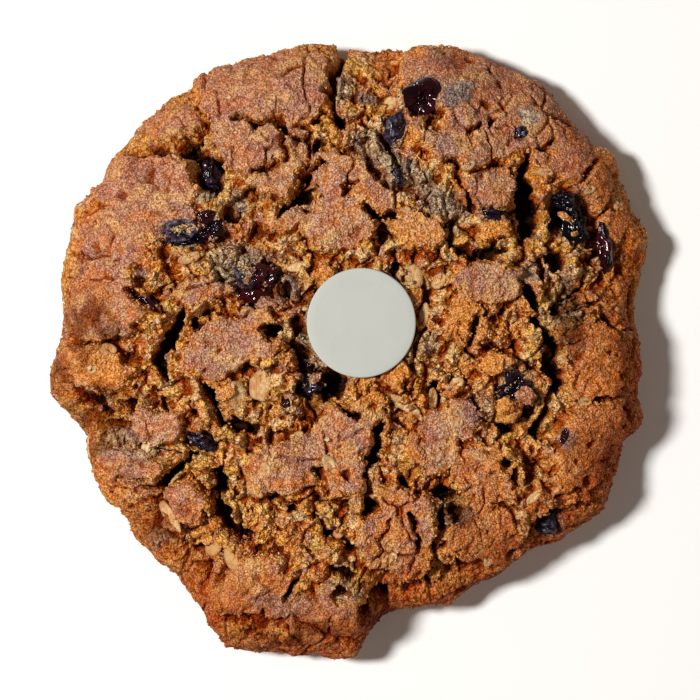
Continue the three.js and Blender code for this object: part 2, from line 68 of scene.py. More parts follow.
dough = {
    "cells": 600,  # of the grid, along each side
    "crowding": {"rounds": 2, "steps": 10, "pull": 1.2},  # of the grid on the walls of the gaps
    "rimRadius": 53,
    # radius and height from the crown to the foot
    "section": [
        (0, 21), (21, 20.7), (34, 19.6), (43.5, 17), (49.5, 12.8), (52.6, 7.8), (52.4, 3.6), (49.5, 0),
    ],
    "baseFade": 3.5,  # height over which the relief dies out to the base
    "sideFrom": (0.68, 0.82),  # share of the section over which the top turns into the side
    "brownFrom": (0.54, 0.82),  # and over which the rim browns
    "brokenFrom": (18, -12),  # y over which the plates grow more broken
    "foot": 0.985,  # size of the underside as a share of the rim
    "underRings": (1, 0.93, 0.8, 0.6, 0.35),  # rings of the underside, as shares of its size
    "underDents": 0.3,
    "underLooks": {"toastAndSideShade": 1.0, "tint": 0.5, "warm": 0.8, "lump": 0.5, "bit": 0.5},
    # angle and radius of the rim
    "rim": [
        (0, 50.3), (8, 50.4), (15, 52.3), (19, 55.6), (29, 55.6), (36, 57.7), (40, 56.3), (57, 56.8),
        (72, 56), (77, 55.6), (79, 53.7), (88, 52.4), (96, 54.8), (105, 55.1), (118, 54.8), (121, 53),
        (128, 54.2), (137, 52.9), (142.5, 53.8), (144, 52.2), (148, 52), (151, 53.7), (162, 52.4),
        (176, 51.3), (182, 53), (186, 53.5), (190, 53), (197, 49.7), (205, 51.4), (217, 50.1), (228, 51.4),
        (234, 50.2), (241, 52.6), (246, 56.6), (258, 55), (266, 53.6), (269, 54.3), (273, 52), (275, 48),
        (278, 45.9), (286, 47.7), (299, 47.7), (309, 47.5), (317, 49.9), (321, 49.5), (326, 52.2),
        (331, 52.4), (340, 50.5), (345, 54.1), (347, 54.6), (350, 51.2),
    ],
    "swells": [(15, 1.3), (6.5, 0.9), (3.4, 0.4)],  # size and height of the crust's waves
    # size and reach of the strays of a gap's edge, of a patch's, and of the larger and smaller crumb
    "wander": [(4.5, 0.9), (1.8, 0.75), (0.9, 0.42), (0.45, 0.18)],
    "fray": [(3.3, 1.4), (1.5, 0.9), (0.8, 0.5), (0.42, 0.22)],
    "crumbStray": [(2.6, 0.7), (1.1, 0.3), (0.55, 0.16), (0.3, 0.1)],
    "bitStray": [(2.6, 1.0), (0.45, 0.12)],
    "gapWidth": (0.85, 0.7, 2.7),  # share of a gap's width along it: mean, swing and size of the swings
    "gapFloor": (0.78, 0.42, 3.2),  # and of its depth
    "sways": [(2.3, 0.55), (1.1, 0.28)],  # size and reach of the bulges of a wall
    "plateSoft": 0.14,  # width of a plate's edge as a share of its size
    "plateSpread": 1.12,  # the plates below are drawn this much larger
    "plateStep": 1.5,  # rise of the smooth plates over the crumb between them
    # lumps of the broken crumb: size, height as a share of it, share that the plates keep, lean and roundness
    "rubble": [
        (4.6, 0.42, 0.09, 0.6, 0.5), (2.3, 0.42, 0.13, 0.4, 0.9), (1.15, 0.42, 0.26, 0.25, 1.2),
        (0.6, 0.42, 0.4, 0.2, 1.2),
    ],
    "grit": [(2.6, 0.32), (1.3, 0.22), (0.7, 0.14)],  # size and height of the crumb's finer bulges
    "splits": [(8.5, 0.05, 1.8), (4.2, 0.07, 1.0)],  # clefts: size of what they part, width as a share, depth
    "pores": [(4.4, 0.27, 2.2), (2.3, 0.25, 1.1)],  # small holes: spacing, radius as a share, depth
    "tops": 0.9,  # margin inside the part's box in which high places are pressed down
    "topClear": 0.25,  # room left over the highest
    "hollowShadeReach": (6, 18),  # grid points round a place that count as near it, and as wider round it, in finding where painted shade goes
    "grainsFrom": 2.5,  # height above which loose grains lie
    # splits between the pieces of crust: route, width, depth
    "gaps": [
        ([(-38.5, 34.5), (-31, 35.5), (-28, 36.5), (-24.5, 40.5)], 1.6, 4),
        ([(-19.5, 41.5), (-16.5, 40), (-12, 40), (-11.5, 38)], 1.4, 4),
        ([(-11.5, 38), (-8.5, 36.5), (-2.5, 39)], 0.6, 1.2),
        ([(-1.5, 52), (-3, 47.5), (-3, 44), (-1.5, 39)], 2.3, 5.5),
        ([(-12, 37), (-11, 33.5)], 0.6, 1.5),
        ([(-17.5, 31), (-12.5, 33)], 0.6, 0.8),
        ([(-5, 32.5), (-7.5, 29.5), (-10.5, 26), (-12.5, 23.5)], 1.6, 5),
        ([(-2, 35.5), (2, 34.5), (6.5, 31.5), (9.5, 28), (17.5, 23.5)], 3.0, 1.0),
        ([(5.5, 38), (7.5, 35), (9, 32)], 1.4, 4),
        ([(3, 25.5), (5, 22), (8.5, 23.5)], 1.4, 4),
        ([(17.5, 33), (19, 28.5), (21, 24)], 1.2, 4),
        ([(31.6, 35.5), (30.7, 31.5), (31.2, 28.5), (31.2, 24.5), (31.8, 20.5)], 2.4, 9),
        ([(41.5, 30.5), (43.5, 33.5)], 0.8, 2),
        ([(17, 21.5), (17.5, 18), (22.5, 17), (28, 18)], 1.9, 5),
        ([(33, 5.5), (35.5, 1.5), (35.5, -2), (36, -5), (34.5, -11.5), (33, -14.5)], 2.3, 8),
        ([(43, -8.5), (47.5, -8)], 0.9, 2),
        ([(-10, 2), (-8, -2), (-5.5, -7.5), (-3, -8.5)], 2.8, 6),
        ([(-38, 10), (-33.5, 7)], 1.9, 4),
        ([(-29, 6.5), (-31, 2.5), (-33.5, -1), (-32.5, -4)], 2.3, 8),
        ([(-26, -5), (-24, -10.5), (-21.5, -13), (-17, -14.5)], 1.7, 6),
        ([(-37, -25), (-33, -23.5), (-30.5, -20.5), (-26.5, -18.5)], 2.2, 7),
        ([(-23, -21.5), (-22.5, -24.5), (-24.5, -26.5), (-23.5, -28.5), (-19, -32)], 3.1, 9),
        ([(-28, -23), (-25, -25)], 1.2, 5),
        ([(-33.5, -26), (-32.5, -28.5), (-28.5, -32.5)], 1.0, 3.5),
        ([(-27, -36.5), (-21.5, -36)], 1.9, 6),
        ([(-13.5, -26), (-9, -26.5), (-6.5, -25)], 1.0, 3.5),
        ([(-5.5, -29.5), (-3.5, -32.5), (1, -35)], 1.6, 5),
        ([(5, -13.5), (4.5, -17.5), (3, -22.5), (3, -27.5)], 1.9, 6),
        ([(16, -28), (15.5, -31.5), (14.5, -36)], 1.7, 6),
        ([(-8.5, -39.5), (-11, -43.5)], 1.0, 3.5),
        ([(-3, -9), (-1, -10.5), (1.5, -11.5)], 1.0, 4),
        ([(22, 5.5), (21, 0.5)], 0.9, 3),
        ([(20.5, 38.1), (22.6, 39.5)], 0.5, 1.6),
        ([(24.4, 39.3), (24.9, 40.9)], 0.5, 1.6),
        ([(33, 35.7), (35.7, 37)], 0.5, 1.6),
        ([(10.3, -28.4), (11.7, -30.1), (12.2, -32.2), (11.8, -34.5)], 0.5, 1.6),
        ([(-7, -41.8), (-5.6, -43)], 0.6, 1.8),
    ],
    # holes where the crust has sunk or torn open: x, y, size across and along, turn, depth
    "pits": [
        (-25.2, 32.2, 5.6, 9.6, 22, 6), (-28.5, 36.2, 5, 3, -20, 5), (-5.6, 35.5, 2.2, 2, 0, 3),
        (-8.5, 27.5, 4.5, 2.6, 15, 5), (31.8, 26, 4.4, 10, 0, 10), (39, 23.5, 8.8, 10.6, 0, 4.5),
        (44.5, 18, 2.4, 11, 8, 2.5), (6.5, 20, 2.8, 3.5, 0, 4), (32, 9.5, 2.3, 5.2, 40, 8),
        (34.5, 14.5, 1.6, 3.5, 0, 4), (37, 7.5, 2.8, 2.4, 0, 4), (30, -8.6, 7, 7, 0, 4),
        (-15.5, 11.5, 8.4, 8.4, 0, 4), (-25.5, 20.3, 8, 4.6, 0, 2.2), (-45, -9.5, 7, 4, -20, 4),
        (-38.5, -9.5, 1.7, 2.8, 15, 4), (-33, -9.5, 1.3, 3.1, 15, 4), (-19, -13, 4.9, 2.4, -10, 6),
        (-26, -16, 6.3, 4.2, -20, 4), (-22.5, -39, 2.1, 1.6, 30, 4), (-10, -27.5, 2.1, 1.7, 0, 4),
        (4, -19.5, 3.1, 2.6, 0, 6), (3, -27.5, 3, 3.8, 0, 7), (9.8, -23.8, 2.4, 1.6, -20, 5),
        (16.8, -25.2, 4, 3.2, -25, 8), (18, -39, 1.6, 2.4, 0, 6), (14.5, -41, 1, 3, 0, 4),
        (5, -44, 3.1, 3.1, 0, 8), (-1, -39, 4.9, 2.1, -15, 5), (29, -22, 1.7, 3.3, 10, 6),
        (27.5, -19.5, 2.3, 1.7, 0, 4), (36, -27.5, 3.5, 2.3, 0, 4), (14.5, -8, 3.1, 4.9, -15, 5),
        (45, 4.5, 1.7, 2.6, 0, 4), (43.5, 8, 2.1, 1.7, 0, 4), (48, 15.5, 1.9, 4.9, 0, 3),
        (-20.5, 24, 2.8, 2.8, 0, 4), (8, 13.5, 2.4, 3.8, 20, 4), (-3.6, -5.6, 7.5, 6, 0, 8),
        (35.8, -2.5, 3.4, 8, 0, 7), (14.8, 41, 3.4, 3.8, 0, 3.5), (-11.2, 10.2, 3.2, 4, 0, 4),
        (18.4, -28, 2.5, 3, 0, 3), (-8.8, 4.5, 3.4, 5, 0, 7), (-25.5, 5.2, 4.5, 3, 20, 4),
        (37.3, 16, 3.4, 3.4, 0, 6), (27.2, -13.2, 3.4, 2.6, 0, 6), (-7.3, -7.6, 4, 3, 0, 5),
        (2.4, -45.9, 2.4, 2.4, 0, 4), (36.6, -5.6, 3.8, 5, 0, 8), (-41.1, -12.9, 4, 2.6, 0, 4),
        (-13.9, 3, 3, 3, 0, 4), (-1.6, -42.5, 3, 2.4, 0, 4),
    ],
    # smooth sandy plates of crust: x, y, width, height, turn, and warmth from pinkish 0 to rusty 1
    "plates": [
        (-31, 40, 8.4, 5.9, 35, 0.4), (-34.8, 28.7, 16.5, 10.4, 0, 0.0), (-41.4, 19.1, 12.2, 9.7, -20, 0.4),
        (-42.6, 8.7, 12.2, 12.2, 0, 0.5), (-13.9, 45.6, 22.6, 13.6, 15, 0.1), (-16, 34.8, 16.5, 9, -5, 0.1),
        (-3.5, 29.9, 6.6, 7.7, 0, 0.3), (4.9, 26.4, 7, 7, -30, 0.6), (-1.7, 21.6, 12.5, 8.7, 0, 0.3),
        (24, 44.9, 27.8, 12.9, -15, 0.1), (20.5, 37.9, 17.4, 9.7, -10, 0.4),
        (35.8, 36.9, 14.6, 10.8, -45, 0.3), (24, 27.8, 9.4, 6.6, 0, 0.3), (44, 29.6, 4.9, 10.4, -10, 0.9),
        (46.6, 21.6, 4.5, 7, -30, 0.9), (-44.9, -2.8, 11.5, 7, -15, 1.0), (-22.3, 0.3, 13.2, 8.7, 20, 0.1),
        (-25.6, 10.4, 9, 4.5, 0, 0.5), (-34.8, -13.4, 10.8, 5.2, 0, 0.0), (0.3, -13.6, 11.5, 7.7, 0, 0.4),
        (24, 11.5, 11.5, 6.3, 0, 0.0), (41.8, -2.1, 11.5, 13.2, 0, 0.9), (43.2, -14.3, 11.5, 8.7, 0, 1.0),
        (-37.8, -20.4, 9.4, 5.2, -15, 0.4), (-28.9, -27.5, 7, 9.7, -30, 0.5),
        (-17.1, -41.4, 13.6, 9, 0, 0.8), (-12.2, -20.9, 10.8, 7.7, 0, 0.5), (-0.9, -21.2, 7, 8.7, 0, 0.6),
        (8, -31.7, 12.2, 14.6, 0, 0.7), (-3.5, -46.3, 14.6, 8.7, 0, 0.5), (24, -21.6, 10.8, 9, 0, 0.9),
        (40, -20.2, 7.7, 8.7, 0, 0.9), (22.3, -31.7, 11.5, 10.4, -30, 1.0), (12.2, 21.2, 8, 6.6, 0, 0.5),
        (20.2, 4.9, 6.3, 8.7, 0, 0.9), (-16.4, 3.5, 7, 11.5, 0, 0.7), (14.4, -17.5, 9, 7, 0, 0.5),
        (-14, 29, 8, 5, -20, 0.4), (-11.5, 22.8, 6, 5, 0, 0.5), (-6.8, -17.6, 6, 6, 0, 0.3),
        (8.5, -4, 6, 4.5, 0, 1.0), (3.7, -9.4, 5, 4, 0, 1.0), (25.4, -2.8, 6, 4, 0, 0.8),
        (18, -12.5, 8, 6, 0, 0.2), (26, 20.5, 5, 3.6, 0, 1.0), (-4.8, 13, 4, 3, 0, 1.0),
        (-33.5, 22.5, 6, 4.5, 0, 0.3), (-28.4, 23.8, 5, 3, 0, 0.2), (-10.6, 33.6, 5, 4, 0, 0.2),
        (-9.8, 37, 5.6, 4, 0, 0.3), (-22.6, -7.3, 5, 4, 0, 0.6), (3.5, 30.5, 6, 3.8, -20, 0.3),
    ],
    "crumbWarmth": 0.6,
    # lumps that stand above the rest: x, y, width, height, turn, rise
    "lifts": [
        (12.2, 21.2, 10, 9, 0, 1.5), (25.8, -3, 7, 5, 0, 2.0), (9.5, -4.5, 6, 5, 0, 1.0),
        (-5.2, 12.2, 5, 4, 0, 0.3), (2, 4.7, 17, 17, 0, 1.6),
    ],
    # crumb greyed by berry juice: x, y, width, height, turn, amount
    "greys": [
        (4.5, 34.6, 12, 6.5, -30, 0.75), (9.5, 30.3, 9, 6, -40, 0.9), (15.5, 26, 12, 5.5, -42, 0.9),
        (-1.9, 45.6, 3.1, 7.3, 0, 0.8), (31.5, 13.2, 6.3, 3.5, -20, 0.8), (37.5, 7.5, 5, 10, 0, 0.7),
        (-40.4, -16, 7.5, 5.6, 0, 0.6), (-33.9, -33.1, 3.5, 3.5, 0, 0.5), (-20, 15, 9, 8, 0, 0.8),
        (-0.7, -41.8, 5.3, 3.2, 0, 0.6), (-7.3, 0.9, 4.2, 15.7, 0, 0.7), (15, 0.9, 3.5, 4.2, 0, 0.7),
        (-20, 25.2, 3.2, 4.3, 0, 0.8), (-25.2, 26.8, 3.5, 2.4, 0, 0.8), (-36, -17.5, 6, 5, 0, 0.5),
        (18.2, 45, 5.4, 4.2, 0, 1.0), (31.8, 40.6, 5, 4.4, 0, 1.0),
    ],
    # darker brown places, painted shadow in and round pits and gaps, in the notch at the bottom and along the
    # lower rim, and darker crust on the left rim: x, y, width, height, turn
    "shades": [
        (-45.5, 3.5, 9, 13, 0), (-44.5, -10, 10, 8, -20), (-50.5, -5, 5, 8, 0), (-45, -15, 7, 7, 0),
        (-6.4, 10.6, 4, 4, 0), (-34.6, -30.6, 8, 6, -40), (-10.6, -50, 18, 5, 5), (18.6, -28.4, 6, 6, 0),
        (38.3, 5, 6, 12, 0), (26, -42, 12, 5, 25), (-3, -4.5, 7, 6, 0), (5.5, -48.5, 6, 7, 0),
        (-7, -8.5, 5, 4, 0),
    ],
    # golden crumb: x, y, width, height, turn, amount
    "golds": [
        (25.8, -2.4, 8, 6, 0, 1.0), (10.3, -5.5, 8, 7, 0, 1.0), (20.4, 6.4, 8, 9, 0, 0.8),
        (22.5, -7, 7, 5, 0, 0.8), (-42, -25, 6, 9, 35, 0.8), (25.3, 5.8, 6, 7, 0, 0.8),
        (42.5, 18.4, 4, 9, 0, 0.7), (3.8, -7.5, 8, 5, 0, 0.9), (35.4, 22, 3, 9, 0, 0.8),
        (-11.8, -43.5, 7, 4, 0, 0.7), (12.5, 19.8, 8, 7, 0, 0.7), (-44, -2.5, 10, 6, -15, 0.8),
        (-20, -8, 8, 6, 0, 0.7), (26, 20.5, 6, 4, 0, 0.8), (-5.2, 12.2, 6, 5, 0, 0.5),
        (-22.6, -6.5, 6, 5, 0, 0.6), (15, -37.5, 6, 8, 0, 0.6), (31, -17, 8, 6, 0, 0.5),
        (-15, -31, 10, 5, -20, 0.5), (-26, -33, 6, 6, 0, 0.6), (-37, -32, 30, 9, -45, 0.3),
        (-14, -50, 18, 5, 5, 0.4),
    ],
    # crumb dyed purple: x, y, width, height, turn, amount
    "purples": [
        (18.3, 44.9, 5.4, 3.6, 0, 0.5), (-17.4, 15.3, 3.1, 5.9, 20, 0.4), (2.6, 43.8, 4.6, 2.2, 0, 0.9),
        (0.3, 35.1, 3.5, 3.5, 0, 0.7), (37.4, -15.1, 3.0, 4.4, 20, 0.9), (-14.8, 15.3, 3.5, 3.5, 0, 0.5),
        (-36, 12.9, 2.8, 2.2, 0, 0.9), (30.5, -8, 4.4, 4, 0, 0.9), (-11, 10.4, 5, 5.5, 0, 0.9),
        (18.6, -28.4, 4, 4, 0, 0.8), (-24, 23, 4, 3, 0, 0.9), (-46, 15, 5, 4, 30, 0.5),
        (-41, 3, 5, 4, 0, 0.5), (16, 36, 6, 4, -20, 0.5), (22, -10, 6, 5, 20, 0.5),
        (-12, -44, 9, 4, 0, 0.6), (-38, -22, 5, 4, 0, 0.5), (15, -27, 5, 4, 0, 0.5),
    ],
}

# berries: length, width, height, turn, depth of the wrinkles, redness and bloom, in the order of their nodes
berries = [
    (7.4, 6.2, 5.6, 40, 0.08, 0.7, 0.05), (6.3, 3.9, 4.6, 75, 0.12, 0.3, 0.8),
    (9.2, 7.6, 6.4, 100, 0.2, 0.1, 0.05), (9.6, 2.8, 4.4, 97, 0.14, 0.7, 0.05),
    (8, 7.4, 6.2, -50, 0.14, 0.8, 0.8), (11.2, 4, 4.2, -2, 0.3, 0.3, 0.75),
    (7.4, 7, 5.8, 60, 0.2, 0.1, 0.2), (5.2, 4.6, 4.6, 20, 0.15, 0.3, 0.2),
    (4.6, 3.9, 4.2, 15, 0.15, 0.1, 0.5), (5, 2.1, 3.6, -32, 0.15, 0.6, 0.15),
    (6.4, 3.6, 4.6, 102, 0.15, 0.1, 0.4), (2.7, 2.5, 2.8, 0, 0.1, 0.1, 0.5),
    (5.6, 3.6, 4, -20, 0.2, 0.1, 0.5), (6.4, 2.8, 4, -18, 0.15, 0.4, 0.2),
]
# burst skins, by berry and lobe: where the burst sinks in, as shares of the size, its reach in radians and
# depth
bursts = {(0, 0): (0.05, -0.25, 1.1, 0.55), (5, 0): (0.1, 0.15, 0.8, 0.3)}
# berries torn into lobes: for each, place beside the middle, then the same values as a berry
lobes = {
    0: [(0, 0.7, 7.6, 6.6, 5.6, 40, 0.06, 0.6, 0.05), (0, 0.1, 4.2, 3.2, 4.2, 10, 0.16, 0.3, 0.0)],
    2: [(-0.2, -1.9, 6.4, 5.6, 6.2, 98, 0.22, 0.0, 0.0), (-1.5, 2.1, 6.0, 4.4, 5.6, -20, 0.2, 0.0, 0.1)],
    4: [(-2.0, 1.2, 6.2, 5.4, 6.2, 60, 0.1, 0.4, 1.5), (1.5, 1.0, 6.0, 5.4, 5.8, 20, 0.1, 1.0, 0.1),
        (-0.7, -2.0, 7.0, 4.6, 5.4, 8, 0.08, 0.6, 0.0)],
    5: [(-2.2, 0.3, 7.2, 4.4, 3.9, 8, 0.22, 0.2, 1.0), (3.2, 0.5, 5.6, 4.4, 4.2, 20, 0.26, 0.3, 0.1),
        (-1.2, -1.2, 8.0, 2.2, 3.8, 6, 0.3, 0.0, 0.0)],
}
# how far the dough leaves a berry's outline open, where it is not all of it
laps = {3: 0.7, 4: 1.1, 9: 0.85, 10: 0.85, 12: 0.7, 13: 0.8}
# scraps of torn skin on the dough, laid out like the berries: x, y, then the same values
scraps = [
    (-11, -9.5, 2.6, 2.1, 1.8, 10, 0.15, 0.7, 0.1), (37.5, -15, 3.1, 1.7, 1.6, 70, 0.15, 0.6, 0.2),
    (-7.6, -2.4, 3.2, 2.2, 1.8, -50, 0.2, 0.4, 0.05), (8.4, 30.2, 3.4, 1.8, 1.6, 110, 0.2, 0.1, 0.5),
    (-24.8, 23.2, 3.2, 2.4, 2.2, 20, 0.15, 0.8, 0.0),
]


def smooth(low, high, x):  # eased step from 0 at low to 1 at high
    t = np.clip((x - low) / (high - low), 0, 1)
    return t * t * (3 - 2 * t)


def lattice(i, j, k):  # a repeatable random number from 0 to 1 for each whole-numbered corner
    wave = np.sin(i * 127.1 + j * 311.7 + k * 74.7) * 43758.5453
    return wave - np.floor(wave)


def noise(x, y, z):  # smooth noise from -1 to 1: the corners' numbers eased across each cell
    i, j, k = np.floor(x), np.floor(y), np.floor(z)
    a, b, c = smooth(0, 1, x - i), smooth(0, 1, y - j), smooth(0, 1, z - k)
    total = 0
    for p, q, r in product((0, 1), repeat=3):
        weight = (a if p else 1 - a) * (b if q else 1 - b) * (c if r else 1 - c)
        total = total + weight * lattice(i + p, j + q, k + r)
    return 2 * total - 1


def cells(x, y, z, size, seed):
    # one stray point in each cell of a lattice: distance to the nearest and the second nearest, in cell
    # sizes, the nearest one's own random number, and the height there of a facet that leans its own way
    x, y, z = x / size + seed, y / size + 2 * seed, z / size + 3 * seed
    i, j, k = np.floor(x), np.floor(y), np.floor(z)
    first, second, own, rx, ry = np.full_like(x, 9), np.full_like(x, 9), *np.zeros((3, *x.shape))
    for p, q, r in product((-1, 0, 1), repeat=3):
        a, b, c = i + p, j + q, k + r
        dx, dy, dz = x - a - lattice(a, b, c), y - b - lattice(b, c, a + 7), z - c - lattice(c, a + 3, b)
        far = np.sqrt(dx * dx + dy * dy + dz * dz)
        closer = far < first
        second = np.where(closer, first, np.minimum(second, far))
        own = np.where(closer, lattice(a + 11, b, c), own)
        rx, ry = np.where(closer, dx, rx), np.where(closer, dy, ry)
        first = np.where(closer, far, first)
    turn = 2 * np.pi * (57 * own % 1)
    return first, second, own, np.cos(turn) * rx + np.sin(turn) * ry


def ovalReach(x, y, oval):  # distance from an oval's middle, 1 on its edge
    cx, cy, width, height, turn = oval
    c, s = np.cos(np.radians(turn)), np.sin(np.radians(turn))
    dx, dy = x - cx, y - cy
    return np.hypot((c * dx + s * dy) / (width / 2), (c * dy - s * dx) / (height / 2))


def routeDistance(x, y, route):  # distance to the nearest of the straight pieces of a route
    nearest = np.full_like(x, 1e3)
    for (x0, y0), (x1, y1) in zip(route, route[1:]):
        t = np.clip(((x - x0) * (x1 - x0) + (y - y0) * (y1 - y0)) / ((x1 - x0) ** 2 + (y1 - y0) ** 2), 0, 1)
        nearest = np.minimum(nearest, np.hypot(x - x0 - t * (x1 - x0), y - y0 - t * (y1 - y0)))
    return nearest


def stray(x, y, waves, seed):  # places moved about by noise of several sizes
    wx, wy = x.copy(), y.copy()
    for n, (size, reach) in enumerate(waves):
        wx += reach * noise(x / size, y / size, seed + 20 * n)
        wy += reach * noise(x / size, y / size, seed + 6 + 20 * n)
    return wx, wy


def patchMask(x, y, ovals, soft, spread=1.0, weighed=False):
    # 1, or an oval's own amount, inside any of the ovals, with a ragged edge
    wx, wy = stray(x, y, dough["fray"], layers["patchEdge"])
    mask = np.zeros_like(x)
    for oval in ovals:
        inside = 1 - smooth(1 - soft, 1 + soft, ovalReach(wx, wy, oval[:5]) / spread)
        mask = np.maximum(mask, inside * (oval[5] if weighed else 1))
    return mask


def plateWarmth(x, y):  # warmth of the plates round a place, the nearer ones counting more
    total, warmth = 0.03, 0.03 * dough["crumbWarmth"]
    for *oval, warm in dough["plates"]:
        near = np.exp(-2 * ovalReach(x, y, oval) ** 2)
        total, warmth = total + near, warmth + near * warm
    return warmth / total


def openings(x, y):
    # depth of the deepest gap or pit over each place, and distance to the nearest wall;
    # the width and the floor of a gap come and go along it
    wx, wy = stray(x, y, dough["wander"], layers["gapEdge"])
    spread, floor = (mean + swing * noise(x / size, y / size, layers[key])
                     for key in ("gapWidth", "gapFloor") for mean, swing, size in [dough[key]])
    depth, wall = np.zeros_like(x), np.full_like(x, 99.0)
    for route, width, deep in dough["gaps"]:
        loose = min(1, 0.3 + 0.4 * width)  # a thin seam keeps closer to its route
        beyond = routeDistance(x + loose * (wx - x), y + loose * (wy - y), route) - spread * width / 2
        depth = np.maximum(depth, deep * floor * (1 - smooth(-0.6, 0.4, beyond)))
        wall = np.minimum(wall, beyond)
    for cx, cy, across, along, turn, deep in dough["pits"]:
        reach = ovalReach(wx, wy, (cx, cy, across, along, turn))
        depth = np.maximum(depth, deep * floor * (1 - smooth(0.65, 1.15, reach)))
        wall = np.minimum(wall, (reach - 1) * min(across, along) / 2)
    return depth, wall


def sectionCurve():
    # Catmull-Rom curve through the section's points: share of the length, radius, height and slope
    p = np.array(dough["section"], float)
    ends = np.vstack([p[:1], p, p[-1:]])
    t = np.linspace(0, 1, 60, endpoint=False)[:, None]
    runs = []
    for a, b, c, d in zip(ends, ends[1:], ends[2:], ends[3:]):
        u, w = (c - a) / 2, (d - b) / 2
        runs.append((2 * b - 2 * c + u + w) * t**3 + (3 * c - 3 * b - 2 * u - w) * t**2 + u * t + b)
    curve = np.vstack([*runs, p[-1:]])
    length = np.insert(np.cumsum(np.hypot(*np.diff(curve, axis=0).T)), 0, 0)
    slope = np.gradient(curve, length, axis=0)
    slope /= np.hypot(*slope.T)[:, None]
    return length / length[-1], curve, slope


sectionShare, sectionPlace, sectionSlope = sectionCurve()


def rimAt(angle):  # radius of the rim, the mean over a few degrees
    degrees, radii = np.array(dough["rim"]).T
    turns = (-2, -1, 0, 1, 2)
    return sum(np.interp(np.degrees(angle) + t, degrees, radii, period=360) for t in turns) / len(turns)


def domePlace(px, py):
    # a place in the unit disc carried onto the bare dome: its radius gives the share of the section's length,
    # spread so that the top has closer rows than the foot
    reach, angle = np.hypot(px, py), np.arctan2(py, px)
    share = 0.85 * reach + 0.15 * reach**6
    radius, z, run, rise = (np.interp(share, sectionShare, column)
                            for column in (*sectionPlace.T, *sectionSlope.T))
    c, s = np.cos(angle), np.sin(angle)
    radius = radius * rimAt(angle) / dough["rimRadius"]
    return np.array([radius * c, radius * s, z]), np.array([-rise * c, -rise * s, run]), share


def pressed(v, low, high, margin):  # values near or past two limits, eased in so that they stay between them
    v = np.where(v > high - margin, high - margin + margin * np.tanh((v - high + margin) / margin), v)
    return np.where(v < low + margin, low + margin + margin * np.tanh((v - low - margin) / margin), v)


def soften(field, reach):  # mean over a square of grid neighbours, twice
    for axis in (0, 1, 0, 1):
        wide = np.pad(field, [(reach + 1, reach) if a == axis else (0, 0) for a in (0, 1)], mode="edge")
        total = np.cumsum(wide, axis=axis)
        n = field.shape[axis]
        high = np.take(total, range(2 * reach + 1, 2 * reach + 1 + n), axis)
        field = (high - np.take(total, range(n), axis)) / (2 * reach + 1)
    return field


def eased(field):  # half of each value and half of its four grid neighbours' mean
    wide = np.pad(field, 1, mode="edge")
    sides = wide[:-2, 1:-1] + wide[2:, 1:-1] + wide[1:-1, :-2] + wide[1:-1, 2:]
    return field / 2 + sides / 8


def squareToDisc(u, v):  # a square from -1 to 1 pressed into a disc of the same area
    wide = np.abs(u) > np.abs(v)
    radius = np.where(wide, u, v)
    ratio = np.where(wide, v, u) / np.where(radius == 0, 1, radius)
    angle = np.where(wide, ratio * np.pi / 4, np.pi / 2 - ratio * np.pi / 4)
    return radius * np.cos(angle), radius * np.sin(angle)


def crowd(px, py):
    # the grid drawn together on the walls of the gaps: each point goes to the mean of its four neighbours,
    # which pull harder where the depth changes
    crowding = dough["crowding"]
    for _ in range(crowding["rounds"]):
        (x, y, _), _, _ = domePlace(px, py)
        depth, _ = openings(x, y)
        steep = np.hypot(*np.gradient(depth))
        pull = 1 + crowding["pull"] * smooth(0.02, 1.2, soften(steep, 1))
        for _ in range(crowding["steps"]):
            sides = [pull[:-2, 1:-1], pull[2:, 1:-1], pull[1:-1, :-2], pull[1:-1, 2:]]
            for p in (px, py):
                near = [p[:-2, 1:-1], p[2:, 1:-1], p[1:-1, :-2], p[1:-1, 2:]]
                p[1:-1, 1:-1] = sum(w * q for w, q in zip(sides, near)) / sum(sides)
    return px, py


def halved(p):  # a grid with each of its cells made four
    fine = np.empty((2 * len(p) - 1, 2 * len(p) - 1))
    fine[::2, ::2] = p
    fine[1::2, ::2] = (p[:-1] + p[1:]) / 2
    fine[:, 1::2] = (fine[:, :-2:2] + fine[:, 2::2]) / 2
    return fine


def rubble(x, y, z, size, height, leaning, roundness, seed):
    # broken crumb: each stray cell has its own level and lean, and some are parted from the next by a cleft;
    # the height, and the cell's own random number
    near, second, own, lean = cells(x, y, z, size, seed)
    cleft = smooth(-0.2, 0.35, noise(x / size / 1.7, y / size / 1.7, seed + layers["clefts"]))
    cleft = cleft * (1 - smooth(0, 0.16, second - near))
    level = 1.1 * (own - 0.5) + leaning * lean + roundness * (0.45 - near) - leaning * cleft
    return height * size * level, own


def berryReach(x, y):  # nearness of the closest berry's outline, 1 on it, which the dough laps unevenly
    reach = np.full_like(x, 9.0)
    for n, ((cx, cy), (length, width, _, turn, *_)) in enumerate(zip(berryPlaces, berries)):
        lap = laps.get(n, 1.0)
        reach = np.minimum(reach, ovalReach(x, y, (cx, cy, lap * length, lap * width, turn)))
    return reach * (1 + 0.22 * noise(x / 2.4, y / 2.4, layers["berryLap"]))


def fromWafer(x, y):  # distance from the wafer's middle, seen from above
    return np.hypot(x - wafer["at"][0], y - wafer["at"][1])


